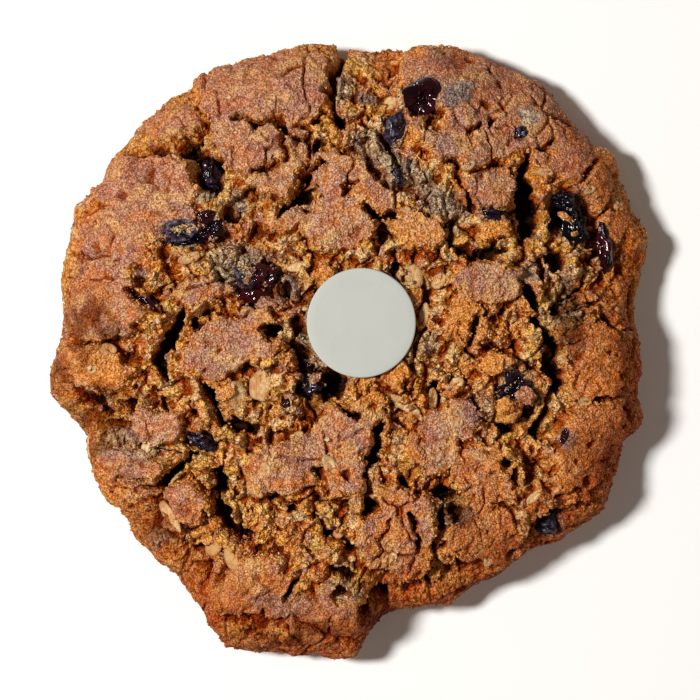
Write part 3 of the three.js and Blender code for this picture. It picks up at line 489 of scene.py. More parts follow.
def doughRelief(x, y, z, share):
    # height over the bare dome: swells, plates a step above the rubble between them, clefts, pores and lifts,
    # less the gaps and pits, and held down at the berries; with the masks and random numbers behind it
    depth, wall = openings(x, y)
    side = smooth(*dough["sideFrom"], share)
    plate = patchMask(x, y, dough["plates"], dough["plateSoft"], dough["plateSpread"])
    plate = plate * smooth(-0.1, 0.6, wall)
    firm = np.maximum(plate, 0.55 * side)
    step = smooth(0.3, 0.65, firm)
    rough = 1 - 0.9 * step
    rise = sum(height * noise(x / size, y / size, z / size) for size, height in dough["swells"])
    rise += dough["plateStep"] * (step - 0.65)
    dx, dy = stray(x, y, dough["crumbStray"], layers["crumb"])
    ex, ey = stray(x, y, dough["bitStray"], layers["bits"])
    broken = smooth(*dough["brokenFrom"], y)
    owns = []
    seed, seedStep = cellSeeds["rubble"]
    for n, (size, height, kept, leaning, roundness) in enumerate(dough["rubble"]):
        places = (dx, dy) if n < 2 else (ex, ey)
        lump, own = rubble(*places, z, size, height, leaning, roundness, seed + seedStep * n)
        rise += np.maximum(rough, kept * (1 + 0.35 * broken)) * (1 - 0.4 * side) * lump
        owns.append(own)
    for size, height in dough["grit"]:
        bulge = 2 * np.abs(noise(dx / size, dy / size, z / size + layers["bulges"])) - 0.6
        rise += rough * height * bulge
    seed, seedStep = cellSeeds["splits"]
    for n, (size, width, deep) in enumerate(dough["splits"]):
        near, second, _, _ = cells(dx, dy, z, size, seed + seedStep * n)
        gate = smooth(0.05, 0.35, noise(x / size, y / size, z / size + layers["splits"] + 9 * n))
        cleft = eased(deep * gate * (1 - smooth(0.3 * width, width, second - near)))
        rise -= cleft * (1 - 0.3 * side) * (1 - 0.3 * step)
    seed, seedStep = cellSeeds["pores"]
    for n, (spacing, radius, deep) in enumerate(dough["pores"]):
        near, _, own, _ = cells(dx, dy, z, spacing, seed + seedStep * n)
        pore = deep * own * (own > 0.4) * (1 - smooth(0.45 * radius, radius, near))
        rise -= pore * (1 - 0.3 * side) * (1 - (0.6 - 0.4 * broken) * step)
    for *oval, lift in dough["lifts"]:
        rise += lift * (1 - smooth(0.65, 1.05, ovalReach(dx, dy, oval)))
    rise -= depth
    reach = berryReach(x, y)
    rise = np.minimum(rise, 4 * smooth(0.75, 1.15, reach) - 1.6 + 9 * smooth(1.0, 1.4, reach))
    masks = {"depth": depth, "side": side, "plate": plate, "reach": reach, "lump": owns[1], "bit": owns[2]}
    return rise, masks


def doughLooks(x, y, share, rise, masks):
    # what the dough's finish reads at each point, from the masks of the relief and the patches of colour;
    # painted shade falls on places that lie below the mean of what is round them, or deep in a gap or pit
    near, wide = (soften(rise, reach) for reach in dough["hollowShadeReach"])
    plate, deep = masks["plate"], smooth(1.5, 5, masks["depth"])
    grey = patchMask(x, y, dough["greys"], 0.4, weighed=True)
    golden = patchMask(x, y, dough["golds"], 0.6, weighed=True)
    juice = 0.5 * (1 - smooth(1.0, 1.3, masks["reach"]))  # round the berries
    litSide = smooth(-0.6, 0.6, (0.9 * y - 0.45 * x) / dough["rimRadius"])  # side of the rim toward the light, browned less: painted light there and painted shade on the far side
    hollowShade = 0.4 * np.clip((near - rise) / 0.7, 0, 1) + 0.4 * np.clip((wide - rise) / 2.0, 0, 1) + 0.65 * deep
    return {
        "crust": smooth(0.45, 0.8, plate),
        "warm": plateWarmth(x, y),
        "grey": grey,
        "purple": np.maximum(patchMask(x, y, dough["purples"], 0.5, weighed=True), juice),
        "shade": patchMask(x, y, dough["shades"], 0.5),
        "hollowShade": np.clip(hollowShade, 0, 1) * (1 - 0.75 * grey),
        "gold": np.maximum(smooth(0.05, 0.25, plate) * (1 - smooth(0.55, 0.85, plate)), golden),
        "lump": masks["lump"],
        "bit": masks["bit"],
        "toastAndSideShade": smooth(*dough["brownFrom"], share) * (1 - 0.65 * litSide) * (1 - 0.6 * golden),
        "tint": np.full_like(x, 0.5),
    }


def doughTop(px, py):
    # the dome moved along its normal by the relief, which dies out to the base, then its walls bulged and
    # hollowed sideways, levelled under the wafer and pressed into the part's box
    (x, y, z), (nx, ny, nz), share = domePlace(px, py)
    rise, masks = doughRelief(x, y, z, share)
    fade = smooth(0, dough["baseFade"], z)
    rise = eased(rise) * fade
    x, y, z = x + nx * rise, y + ny * rise, z + nz * rise
    calm = fade * (1 - 0.6 * masks["side"])
    for size, sway in dough["sways"]:
        x, y = (x + sway * calm * noise(x / size, y / size, z / size + layers["swayAcross"]),
                y + sway * calm * noise(x / size, y / size, z / size + layers["swayAlong"]))
    under = fromWafer(x, y) < wafer["diameter"] / 2 + wafer["seatMargin"]
    z = np.where(under, np.minimum(z, wafer["seat"]), z)
    x, y = (pressed(v, doughLow[k], doughHigh[k], dough["tops"]) for k, v in ((0, x), (1, y)))
    z = np.minimum(z, pressed(z, -9, doughHigh[2] - dough["topClear"], dough["tops"]))
    return np.array([x, y, z]), doughLooks(x, y, share, rise, masks)


def meshPiece(name, points, faces, material, values=None, rounded=True, normals=None):
    # a mesh at the origin from points in millimetres and arrays of triangles or quads
    mesh = bpy.data.meshes.new(name)
    mesh.vertices.add(len(points))
    mesh.vertices.foreach_set("co", ((points + offset) * mm).astype(np.float32).ravel())
    corners = np.concatenate([f.ravel() for f in faces]).astype(np.int32)
    counts = np.concatenate([np.full(len(f), f.shape[1]) for f in faces])
    mesh.loops.add(len(corners))
    mesh.loops.foreach_set("vertex_index", corners)
    mesh.polygons.add(len(counts))
    mesh.polygons.foreach_set("loop_start", np.insert(np.cumsum(counts)[:-1], 0, 0).astype(np.int32))
    mesh.update(calc_edges=True)
    mesh.polygons.foreach_set("use_smooth", np.full(len(counts), rounded))
    if normals is not None:
        mesh.normals_split_custom_set_from_vertices(normals)
    for key, field in (values or {}).items():
        mesh.attributes.new(key, "FLOAT", "POINT").data.foreach_set("value", field.astype(np.float32).ravel())
    mesh.materials.append(material)
    piece = bpy.data.objects.new(name, mesh)
    bpy.context.scene.collection.objects.link(piece)
    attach(piece, "root")
    return piece


def welded(points, faces, values):
    # points that share a place made one, and the faces that lose a corner by it made triangles
    _, first, again = np.unique(np.round(points, 6), axis=0, return_index=True, return_inverse=True)
    faces = again.ravel()[faces]
    same = faces == np.roll(faces, -1, axis=1)
    short = same.any(1)
    parts = [faces[~short], faces[short][~same[short]].reshape(-1, 3)]
    return points[first], parts, {key: field.ravel()[first] for key, field in values.items()}


def gridFaces(rows, columns, closed=False):  # quads between neighbouring points of a grid, counted row by row
    i, j = np.meshgrid(np.arange(rows - 1), np.arange(columns if closed else columns - 1), indexing="ij")
    k = (j + 1) % columns
    row, nextRow = i * columns, (i + 1) * columns
    return np.stack([row + j, row + k, nextRow + k, nextRow + j], -1).reshape(-1, 4)


def linear(red, green, blue):  # a screen colour, 0 to 255, as the shader counts it
    c = np.array([red, green, blue]) / 255
    return (*np.where(c < 0.04045, c / 12.92, ((c + 0.055) / 1.055) ** 2.4), 1.0)


def painted(colours):  # screen colours by name, as the shader counts them
    return {name: linear(*screen) for name, screen in colours.items()}


def addNode(tree, kind, inputs=None, **settings):
    node = tree.nodes.new(kind)
    for key, value in settings.items():
        setattr(node, key, value)
    for key, value in (inputs or {}).items():
        if isinstance(value, bpy.types.NodeSocket):
            tree.links.new(value, node.inputs[key])
        else:
            node.inputs[key].default_value = value
    return node


def mixed(tree, share, first, second, blend="MIX"):  # two colours mixed by a share
    node = addNode(tree, "ShaderNodeMix", {0: share, 6: first, 7: second}, data_type="RGBA", blend_type=blend)
    return node.outputs[2]


def ranged(tree, value, low, high, toLow=0.0, toHigh=1.0):  # a value eased from one range to another
    node = addNode(tree, "ShaderNodeMapRange", {0: value, 1: low, 2: high, 3: toLow, 4: toHigh})
    node.interpolation_type = "SMOOTHSTEP"
    return node.outputs[0]


def maths(tree, first, second, operation="MULTIPLY"):  # two values multiplied, added or taken away
    return addNode(tree, "ShaderNodeMath", {0: first, 1: second}, operation=operation).outputs[0]


def attribute(tree, name):
    return addNode(tree, "ShaderNodeAttribute", attribute_name=name).outputs["Fac"]


def objectPlace(tree):
    return addNode(tree, "ShaderNodeTexCoord").outputs["Object"]


def cloud(tree, place, size, detail=2.0, rough=0.5):  # noise with swells of a size in millimetres
    return addNode(tree, "ShaderNodeTexNoise", {
        "Vector": place, "Scale": 1 / (size * mm), "Detail": detail, "Roughness": rough}).outputs["Fac"]


# granules of the crumb in millimetres: sizes and heights of two kinds, height of the dust, depth of the pits
granules = {"sizes": (0.95, 0.32), "heights": (0.6, 0.2), "dust": 0.1, "pits": 0.3}


def sandyGrain():
    # shared grain of baked crumb, of granules in two sizes: their height in millimetres, how near their tops
    # a place is, for painted light on the tops and painted shade between them, a random number for each of
    # the larger ones, sparse painted glints and sparse pits, sunk in the height and painted shade in the
    # colour
    group = bpy.data.node_groups.new("sandyGrain", "ShaderNodeTree")
    group.interface.new_socket("Vector", in_out="INPUT", socket_type="NodeSocketVector")
    group.interface.new_socket("Lumps", in_out="INPUT", socket_type="NodeSocketFloat")
    for name in ("Height", "Tops", "Own", "Glints", "Pits"):
        group.interface.new_socket(name, in_out="OUTPUT", socket_type="NodeSocketFloat")
    given = addNode(group, "NodeGroupInput").outputs
    place = given["Vector"]
    lumps, sand = (addNode(group, "ShaderNodeTexVoronoi", {"Vector": place, "Scale": 1 / (size * mm)}).outputs
                   for size in granules["sizes"])
    own, bright = (addNode(group, "ShaderNodeSeparateColor", {0: kind["Color"]}).outputs[0]
                   for kind in (lumps, sand))
    tops = maths(group, maths(group, lumps["Distance"], 0.7), maths(group, sand["Distance"], 1.3), "ADD")
    pits = maths(group, ranged(group, lumps["Distance"], 0.12, 0.26, 1, 0), ranged(group, own, 0.74, 0.78))
    lumpRise, sandRise = granules["heights"]
    lumpHeight = maths(group, maths(group, lumps["Distance"], lumps["Distance"]),
                       maths(group, given["Lumps"], lumpRise))
    sandHeight = maths(group, maths(group, sand["Distance"], sand["Distance"]), sandRise)
    height = maths(group, maths(group, cloud(group, place, 0.2, 1), granules["dust"]), lumpHeight, "SUBTRACT")
    for lower in (sandHeight, maths(group, pits, granules["pits"])):
        height = maths(group, height, lower, "SUBTRACT")
    addNode(group, "NodeGroupOutput", {
        "Height": height, "Tops": ranged(group, tops, 0.65, 1.35, 1.0, 0.0), "Own": own,
        "Glints": ranged(group, bright, 0.93, 0.98), "Pits": pits})
    return group


def newMaterial(name):
    material = bpy.data.materials.new(name)
    material.use_nodes = True
    material.node_tree.nodes.clear()
    return material, material.node_tree


def finishMaterial(tree, colour, roughness, height, depth, **sockets):
    bump = addNode(tree, "ShaderNodeBump", {"Strength": 1.0, "Distance": depth * mm, "Height": height})
    shader = addNode(tree, "ShaderNodeBsdfPrincipled", {
        "Base Color": colour, "Roughness": roughness, "Normal": bump.outputs["Normal"], **sockets})
    addNode(tree, "ShaderNodeOutputMaterial", {"Surface": shader.outputs["BSDF"]})


# colours of the dough on screen, 0 to 255
doughColours = {
    "goldenCrumb": (214, 166, 80), "rustyCrumb": (206, 120, 46), "rustyLump": (186, 94, 30),
    "paleLump": (226, 192, 138), "mauveBit": (164, 120, 106), "yellowBit": (222, 158, 52),
    "pinkCrust": (184, 134, 104), "rustyCrust": (204, 124, 54), "mauveCrust": (166, 114, 102),
    "rustySpot": (198, 104, 42), "paleSpot": (214, 164, 104), "goldenEdge": (222, 144, 50),
    "browned": (172, 80, 12), "brownedRim": (160, 64, 4), "greyPaste": (124, 116, 110),
    "palePaste": (198, 182, 150), "slatePaste": (78, 80, 96), "purple": (104, 76, 90),
    # the grain's shade and light, glint and pit colours are painted shade, painted light and painted glints;
    # shade is partly painted shadow, and the hollows' brown and near black are painted shade
    "grainPaintedShade": (192, 158, 118), "grainPaintedLight": (252, 230, 188), "paintedGlint": (252, 226, 188),
    "grainPitShade": (110, 56, 24), "shade": (166, 134, 100), "hollowShadeBrown": (196, 128, 50),
    "hollowShadeDark": (24, 9, 2),
}


def crumbColour(tree, paint, hue):  # golden to rusty, with lumps and bits of other tones
    lump, bit = attribute(tree, "lump"), attribute(tree, "bit")
    crumb = mixed(tree, ranged(tree, hue, 0.35, 0.65), paint["goldenCrumb"], paint["rustyCrumb"])
    crumb = mixed(tree, ranged(tree, lump, 0.34, 0.24, 0, 0.55), crumb, paint["rustyLump"])
    crumb = mixed(tree, ranged(tree, lump, 0.74, 0.84, 0, 0.7), crumb, paint["paleLump"])
    crumb = mixed(tree, ranged(tree, bit, 0.78, 0.86, 0, 0.6), crumb, paint["mauveBit"])
    return mixed(tree, ranged(tree, bit, 0.28, 0.18, 0, 0.7), crumb, paint["yellowBit"])


def crustColour(tree, paint, hue, patch, spots):  # pinkish to rusty plates, mauve in places and spotted
    warm = maths(tree, attribute(tree, "warm"), ranged(tree, patch, 0.3, 0.7, -0.4, 0.4), "ADD")
    plates = mixed(tree, ranged(tree, warm, 0, 1), paint["pinkCrust"], paint["rustyCrust"])
    mauve = maths(tree, ranged(tree, hue, 0.45, 0.62, 0, 0.8), ranged(tree, warm, 0.3, 1, 1.0, 0.2))
    plates = mixed(tree, mauve, plates, paint["mauveCrust"])
    plates = mixed(tree, ranged(tree, spots, 0.52, 0.66, 0, 0.4), plates, paint["rustySpot"])
    return mixed(tree, ranged(tree, spots, 0.46, 0.34, 0, 0.7), plates, paint["paleSpot"])


def stained(tree, paint, colour, place, patch, browningAndSideShade):
    # golden at the edges of plates, browned to the rim, with painted light on its side toward the light and
    # painted shade on the far side, and greyed or dyed by the berries
    colour = mixed(tree, maths(tree, attribute(tree, "gold"), 0.75), colour, paint["goldenEdge"])
    toastAndSideShade = maths(tree, browningAndSideShade, ranged(tree, patch, 0.35, 0.65, 1.0, 0.7))
    baked = mixed(tree, ranged(tree, browningAndSideShade, 0.55, 1), paint["browned"], paint["brownedRim"])
    colour = mixed(tree, toastAndSideShade, colour, baked)
    bits = cloud(tree, place, 1.4, 2)
    grey = mixed(tree, ranged(tree, patch, 0.4, 0.65), paint["greyPaste"], paint["palePaste"])
    grey = mixed(tree, ranged(tree, bits, 0.5, 0.58, 0, 0.8), grey, paint["slatePaste"])
    colour = mixed(tree, maths(tree, attribute(tree, "grey"), 0.85), colour, grey)
    return mixed(tree, maths(tree, attribute(tree, "purple"), 0.85), colour, paint["purple"])


def grained(tree, paint, colour, sand, crust, browningAndSideShade, tint):
    # lighter or darker by each one's own tone, with painted shade between the granules and painted light on
    # their tops, painted glints and painted shade in the pits
    own = maths(tree, maths(tree, sand["Own"], 0.5, "SUBTRACT"), ranged(tree, crust, 0, 1, 0.28, 0.1))
    tops = maths(tree, maths(tree, sand["Tops"], 0.5, "SUBTRACT"), ranged(tree, crust, 0, 1, 0.54, 0.46))
    tone = maths(tree, maths(tree, tint, 0.5), maths(tree, own, tops, "ADD"), "ADD")
    tone = maths(tree, tone, 0.25, "ADD")
    dark = mixed(tree, 1.0, colour, paint["grainPaintedShade"], "MULTIPLY")
    lighter = (1.5, 1.5, 1.5, 1)
    bright = mixed(tree, 1.0, colour, lighter, "MULTIPLY")
    pallor = maths(tree, ranged(tree, browningAndSideShade, 0, 1, 1.0, 0.35), 0.35)
    pale = mixed(tree, pallor, bright, paint["grainPaintedLight"])
    colour = mixed(tree, ranged(tree, tone, 0.1, 0.5), dark, colour)
    colour = mixed(tree, ranged(tree, tone, 0.5, 0.9), colour, pale)
    glints = maths(tree, sand["Glints"], ranged(tree, browningAndSideShade, 0, 1, 0.35, 0.08))
    colour = mixed(tree, glints, colour, paint["paintedGlint"])
    return mixed(tree, maths(tree, sand["Pits"], 0.6), colour, paint["grainPitShade"])


def shadowed(tree, paint, colour, spots):  # blotched darker where the shades lie, painted shadow in part, and painted shade, brown to nearly black, in the hollows
    shaded = mixed(tree, 1.0, colour, paint["shade"], "MULTIPLY")
    blotch = maths(tree, attribute(tree, "shade"), ranged(tree, spots, 0.38, 0.56, 0.3, 1.0))
    colour = mixed(tree, blotch, colour, shaded)
    # painted shade in the hollows: a warm brown, then nearly black deep down
    hollowShade = attribute(tree, "hollowShade")
    brown = mixed(tree, 1.0, colour, paint["hollowShadeBrown"], "MULTIPLY")
    colour = mixed(tree, ranged(tree, hollowShade, 0.0, 0.45), colour, brown)
    return mixed(tree, ranged(tree, hollowShade, 0.4, 1.0, 0, 0.94), colour, paint["hollowShadeDark"])


def bakedDough(name, grain, gloss):
    # golden and rusty crumb and pinkish crust, toasted at the rim with painted light and shade on its near
    # and far sides, dyed by berries, and painted shade dark in the hollows
    material, tree = newMaterial(name)
    paint = painted(doughColours)
    place = objectPlace(tree)
    crust, browningAndSideShade, tint = (attribute(tree, key) for key in ("crust", "toastAndSideShade", "tint"))
    lumps = ranged(tree, crust, 0, 1, 1.0, 0.3)
    sand = addNode(tree, "ShaderNodeGroup", {"Vector": place, "Lumps": lumps}, node_tree=grain).outputs
    hue, patch, spots = cloud(tree, place, 6, 1.5), cloud(tree, place, 2.6, 1.5), cloud(tree, place, 4.2, 1)
    crumb, plates = crumbColour(tree, paint, hue), crustColour(tree, paint, hue, patch, spots)
    colour = stained(tree, paint, mixed(tree, crust, crumb, plates), place, patch, browningAndSideShade)
    colour = grained(tree, paint, colour, sand, crust, browningAndSideShade, tint)
    colour = shadowed(tree, paint, colour, spots)
    rough = maths(tree, ranged(tree, sand["Tops"], 0, 1, 0.85, 0.6), ranged(tree, tint, 0.55, 0.75, 1.0, 0.5))
    finishMaterial(tree, colour, rough, sand["Height"], 1.0, **{"Specular IOR Level": gloss})
    return material


skinColours = {
    "black": (8, 5, 8), "red": (60, 8, 14), "bloom": (92, 74, 112), "fold": (6, 2, 3),
    "lipAndHighlight": (124, 114, 114),
}


def berrySkin():
    # near-black skin, red or blue by berry, with a dusty violet bloom on the folds and fine creases, painted
    # shade down in the dips, and round a burst a pale torn rim with a painted highlight
    material, tree = newMaterial("berrySkin")
    paint = painted(skinColours)
    place = objectPlace(tree)
    creases, dust = cloud(tree, place, 0.6, 3), cloud(tree, place, 0.8, 4, 0.65)
    colour = mixed(tree, attribute(tree, "red"), paint["black"], paint["red"])
    dusty = attribute(tree, "bloom")
    bloom = maths(tree, dusty, ranged(tree, dust, 0.4, 0.66))
    colour = mixed(tree, bloom, colour, paint["bloom"])
    # painted shade, near black, down in the dips between the folds and inside a burst
    colour = mixed(tree, maths(tree, attribute(tree, "dip"), 0.7), colour, paint["fold"])
    # a pale torn rim with a painted highlight along it, round a burst
    colour = mixed(tree, maths(tree, attribute(tree, "lipAndHighlight"), 0.7), colour, paint["lipAndHighlight"])
    finishMaterial(tree, colour, ranged(tree, dusty, 0, 0.8, 0.1, 0.5), creases, 0.12)
    return material


flakeColours = {
    "brown": (198, 150, 88), "pale": (230, 206, 154), "toasted": (198, 152, 96), "clinging": (196, 124, 60),
    "edge": (150, 88, 38),
}


def oatFlake(grain):
    # cream flake, browned at its edge and in patches where dough clings to it
    material, tree = newMaterial("oatFlake")
    paint = painted(flakeColours)
    place = objectPlace(tree)
    sand = addNode(tree, "ShaderNodeGroup", {"Vector": place, "Lumps": 0.2}, node_tree=grain).outputs
    pale = attribute(tree, "pale")
    cream = mixed(tree, pale, paint["brown"], paint["pale"])
    colour = mixed(tree, ranged(tree, cloud(tree, place, 1.0, 3), 0.35, 0.65), paint["toasted"], cream)
    clings = ranged(tree, cloud(tree, place, 1.3, 3), 0.48, 0.6)
    clings = maths(tree, clings, ranged(tree, pale, 0, 1, 0.9, 0.45))
    colour = mixed(tree, clings, colour, paint["clinging"])
    colour = mixed(tree, maths(tree, attribute(tree, "edge"), 0.7), colour, paint["edge"])
    finishMaterial(tree, colour, 0.65, sand["Height"], 0.6)
    return material


waferColours = {
    "base": (187, 190, 183), "pale": (190, 192, 186), "fibre": (162, 158, 148),
}


def waferPaper():
    # matt grey-white with faint fibres
    material, tree = newMaterial("waferPaper")
    paint = painted(waferColours)
    place = objectPlace(tree)
    fibre = cloud(tree, place, 0.5, 4, 0.6)
    tone = mixed(tree, ranged(tree, cloud(tree, place, 5, 2), 0.35, 0.65), paint["base"], paint["pale"])
    colour = mixed(tree, ranged(tree, fibre, 0.62, 0.75, 0, 0.25), tone, paint["fibre"])
    finishMaterial(tree, colour, 0.8, fibre, 0.03)
    return material


def berryCentres():  # middles of the berry nodes, in the making frame
    boxes = [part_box(f"berry_{n + 1:02d}") for n in range(len(berries))]
    return [np.array(low + high) / 2 / mm - offset for low, high in boxes]


berryMiddles = berryCentres()
berryPlaces = [middle[:2] for middle in berryMiddles]
doughLow, doughHigh = (np.array(corner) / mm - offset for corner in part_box("cookie"))
grain = sandyGrain()
doughMaterial = bakedDough("bakedDough", grain, gloss=0.06)
grainMaterial = bakedDough("bakedGrains", grain, gloss=0.2)


def underFaces(m):
    # border of a quarter's grid of m by m points, and the faces from it over the rings of the underside to
    # the middle, whose points come after the grid's
    index, rings = np.arange(m * m).reshape(m, m), len(dough["underRings"])
    border = np.concatenate([index[0, :-1], index[:-1, -1], index[-1, :0:-1], index[:0:-1, 0]])
    count = len(border)
    loops = np.vstack([border, *[m * m + k * count + np.arange(count) for k in range(rings)]])
    bands = [np.stack([a, np.roll(a, -1), np.roll(b, -1), b], -1)[:, ::-1] for a, b in zip(loops, loops[1:])]
    fan = np.stack([np.roll(loops[-1], -1), loops[-1], np.full(count, m * m + rings * count)], -1)
    return border, [*bands, fan]


def underPoints(foot):  # rings drawn in from the foot, with shallow dents, and the middle
    middle = foot.mean(0)
    rings = [middle + scale * (foot - middle) for scale in dough["underRings"]]
    for ring in rings[1:]:
        dents = noise(ring[:, 0] / 2, ring[:, 1] / 2, layers["under"])
        ring[:, 2] = dough["underDents"] * np.clip(dents, 0, 1)
    return np.vstack([*rings, middle])


def makeDough():
    # the grid's four quarters, each a closed piece with walls inside the dough and a flat underside; the
    # normals are those of the whole grid, so that no seam shows
    n = dough["cells"] + 1
    line = np.linspace(-1, 1, dough["cells"] // 2 + 1)
    px, py = squareToDisc(*np.meshgrid(line, line, indexing="xy"))
    px, py = (halved(p) for p in crowd(px, py))
    top, values = doughTop(px, py)
    normal = np.cross(np.gradient(top, axis=2), np.gradient(top, axis=1), axis=0)
    normal /= np.linalg.norm(normal, axis=0)
    half = n // 2
    m = half + 1
    out = np.abs(np.linspace(-1, 1, n))
    out = np.maximum(out[:, None], out)  # how far out in the grid, 1 on the rim
    ends = top[:2].copy()  # where the grid's two middle lines reach the rim, and each rim point itself
    ends[:, half, :half], ends[:, half, m:] = top[:2, half, :1], top[:2, half, -1:]
    ends[:, :half, half], ends[:, m:, half] = top[:2, :1, half], top[:2, -1:, half]
    border, below = underFaces(m)
    for k, corner in enumerate(product((0, half), repeat=2)):
        rows, columns = (slice(c, c + m) for c in corner)
        points = top[:, rows, columns].reshape(3, -1).T
        foot = np.zeros((len(border), 3))
        foot[:, :2] = dough["foot"] * (out * ends)[:, rows, columns].reshape(2, -1).T[border]
        under = underPoints(foot)
        plain = {key: np.full(len(under), dough["underLooks"].get(key, 0.0)) for key in values}
        own = {key: np.append(field[rows, columns], plain[key]) for key, field in values.items()}
        downward = np.tile((0.0, 0.0, -1.0), (len(under), 1))
        normals = np.vstack([normal[:, rows, columns].reshape(3, -1).T, downward])
        piece = meshPiece(f"cookie_dough_{k + 1}", np.vstack([points, under]), [gridFaces(m, m), *below],
                          doughMaterial, own, True, normals)
        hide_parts("cookie")
    print("dough", n * n, "points")
    return top.reshape(3, -1).T, gridFaces(n, n), {key: field.ravel() for key, field in values.items()}


# loose grains baked onto the dough: number, least and greatest size, rings and sides of a grain, unevenness,
# share of the size by which the middle stands off, and how much of them the plates, crumb, edges, hollows
# and rim have
grains = {
    "sugar_sand": {"count": 20000, "size": (0.18, 0.46), "facets": (1, 4), "ragged": 0.25, "stand": 0.02,
                   "plates": 1.0, "crumb": 0.35, "edges": 0.0, "hollows": 0.2, "rim": 0.4},
    "dough_crumbs": {"count": 4800, "size": (0.4, 0.95), "facets": (2, 5), "ragged": 0.25, "stand": 0.0,
                     "plates": 0.1, "crumb": 0.4, "edges": 1.6, "hollows": 0.6, "rim": 0.3},
    "oat_bits": {"count": 60, "size": (0.7, 1.6), "facets": (3, 7), "ragged": 0.2, "stand": -0.15,
                 "plates": 0.6, "crumb": 1.0, "edges": 0.3, "hollows": 0.2, "rim": 0.0},
    "dough_lumps": {"count": 180, "size": (1.0, 1.9), "facets": (4, 8), "ragged": 0.26, "stand": -0.2,
                    "plates": 0.03, "crumb": 1.0, "edges": 1.0, "hollows": 1.0, "rim": 0.2},
}


def ball(rows, columns):  # a unit ball of rings with two poles: points, and faces as triangles and quads
    a = np.pi * np.arange(1, rows + 1)[:, None] / (rows + 1)
    b = 2 * np.pi * (np.arange(columns) + 0.5 * np.arange(rows)[:, None]) / columns
    rings = np.stack([np.sin(a) * np.cos(b), np.sin(a) * np.sin(b), np.cos(a) + 0 * b], -1).reshape(-1, 3)
    i = np.arange(columns)
    k, last, pole = (i + 1) % columns, (rows - 1) * columns, rows * columns
    caps = np.vstack([np.stack([np.full(columns, pole), i, k], -1),
                      np.stack([last + k, last + i, np.full(columns, pole + 1)], -1)])
    sides = gridFaces(rows, columns, True)[:, ::-1]
    return np.vstack([rings, [(0, 0, 1), (0, 0, -1)]]), [caps, sides]


def scattered(count, points, faces, values, weight):
    # places drawn on a surface by area and weight, with the normal and the values there
    a, b, d = points[faces[:, 0]], points[faces[:, 1]], points[faces[:, 3]]
    normal = np.cross(b - a, d - a)
    area = np.linalg.norm(normal, axis=1)
    total = np.cumsum(area * weight[faces[:, 0]])
    pick = np.searchsorted(total, rng.random(count) * total[-1])
    u, v = rng.random((2, count, 1))
    place = a[pick] + u * (b - a)[pick] + v * (d - a)[pick]
    own = {key: field[faces[pick, 0]] for key, field in values.items()}
    return place, normal[pick] / area[pick, None], own


def turnedAbout(count):  # random turns in space, as matrices made from evenly drawn quaternions
    q = rng.normal(size=(count, 4))
    w, x, y, z = (q / np.linalg.norm(q, axis=1, keepdims=True)).T
    return np.array([[1 - 2 * (y * y + z * z), 2 * (x * y - w * z), 2 * (x * z + w * y)],
                     [2 * (x * y + w * z), 1 - 2 * (x * x + z * z), 2 * (y * z - w * x)],
                     [2 * (x * z - w * y), 2 * (y * z + w * x), 1 - 2 * (x * x + y * y)]]).transpose(2, 0, 1)


def makeGrains(name, points, faces, values):
    # ragged balls, stretched and turned at random, half sunk in the dough and coloured like it
    setting = grains[name]
    clear = fromWafer(points[:, 0], points[:, 1]) > wafer["diameter"] / 2 + wafer["grainMargin"]
    weight = setting["crumb"] + (setting["plates"] - setting["crumb"]) * values["crust"]
    weight = weight + setting["edges"] * values["gold"]
    weight = weight * (1 + (setting["hollows"] - 1) * values["hollowShade"]) * clear
    weight = weight * (points[:, 2] > dough["grainsFrom"]) * (1 + (setting["rim"] - 1) * values["toastAndSideShade"])
    strew(name, setting, *scattered(setting["count"], points, faces, values, weight))


def strew(name, setting, place, normal, own):
    # one piece of all the grains of a kind, each a copy of the ball with its own size, stretch, turn and tint
    count = setting["count"]
    unit, parts = ball(*setting["facets"])
    size = rng.uniform(*setting["size"], count)[:, None]
    shape = unit * (1 + setting["ragged"] * rng.normal(size=(count, len(unit), 1)))
    shape = shape * (size / 2 * rng.uniform(0.65, 1.0, (count, 3)))[:, None]
    place = place + normal * size * setting["stand"]
    grainPoints = np.einsum("nij,nvj->nvi", turnedAbout(count), shape) + place[:, None]
    own["tint"] = rng.uniform(0.25, 1.0, count)
    own = {key: np.repeat(field, len(unit)) for key, field in own.items()}
    first = (np.arange(count) * len(unit))[:, None, None]
    grainFaces = [(part + first).reshape(-1, part.shape[1]) for part in parts if len(part)]
    grainPoints = grainPoints.reshape(-1, 3)
    for axis in range(3):
        grainPoints[:, axis] = np.clip(grainPoints[:, axis], doughLow[axis], doughHigh[axis])
    if name == "oat_bits":
        own = {"pale": own["tint"], "edge": 0 * own["tint"]}
    material = oatMaterial if name == "oat_bits" else grainMaterial
    meshPiece(name, grainPoints, grainFaces, material, own, name != "sugar_sand")
    print(name, count)


# crumbs on the berries, set like the loose grains, with the berries that have them
berryCrumbs = {
    "count": 380, "size": (0.25, 0.75), "facets": (2, 5), "ragged": 0.25, "stand": 0.0,
    "berries": (4, 5, 6, 7, 12),
    # clumps of them: berry, place beside its middle, width, height and turn
    "clumps": [
        (4, -1.6, 0.9, 1.4, 3.4, -15), (4, -2.6, 2.6, 2.4, 2.0, 0), (5, -1.0, 0.9, 6.0, 1.6, 8),
        (5, 3.6, -1.0, 1.6, 1.2, 0),
    ],
    "crowding": 9,  # how much closer they lie in a clump
    "looks": {"gold": 0.0, "grey": 0.55, "purple": 0.1, "warm": 0.5, "lump": 0.5, "bit": 0.5},
}


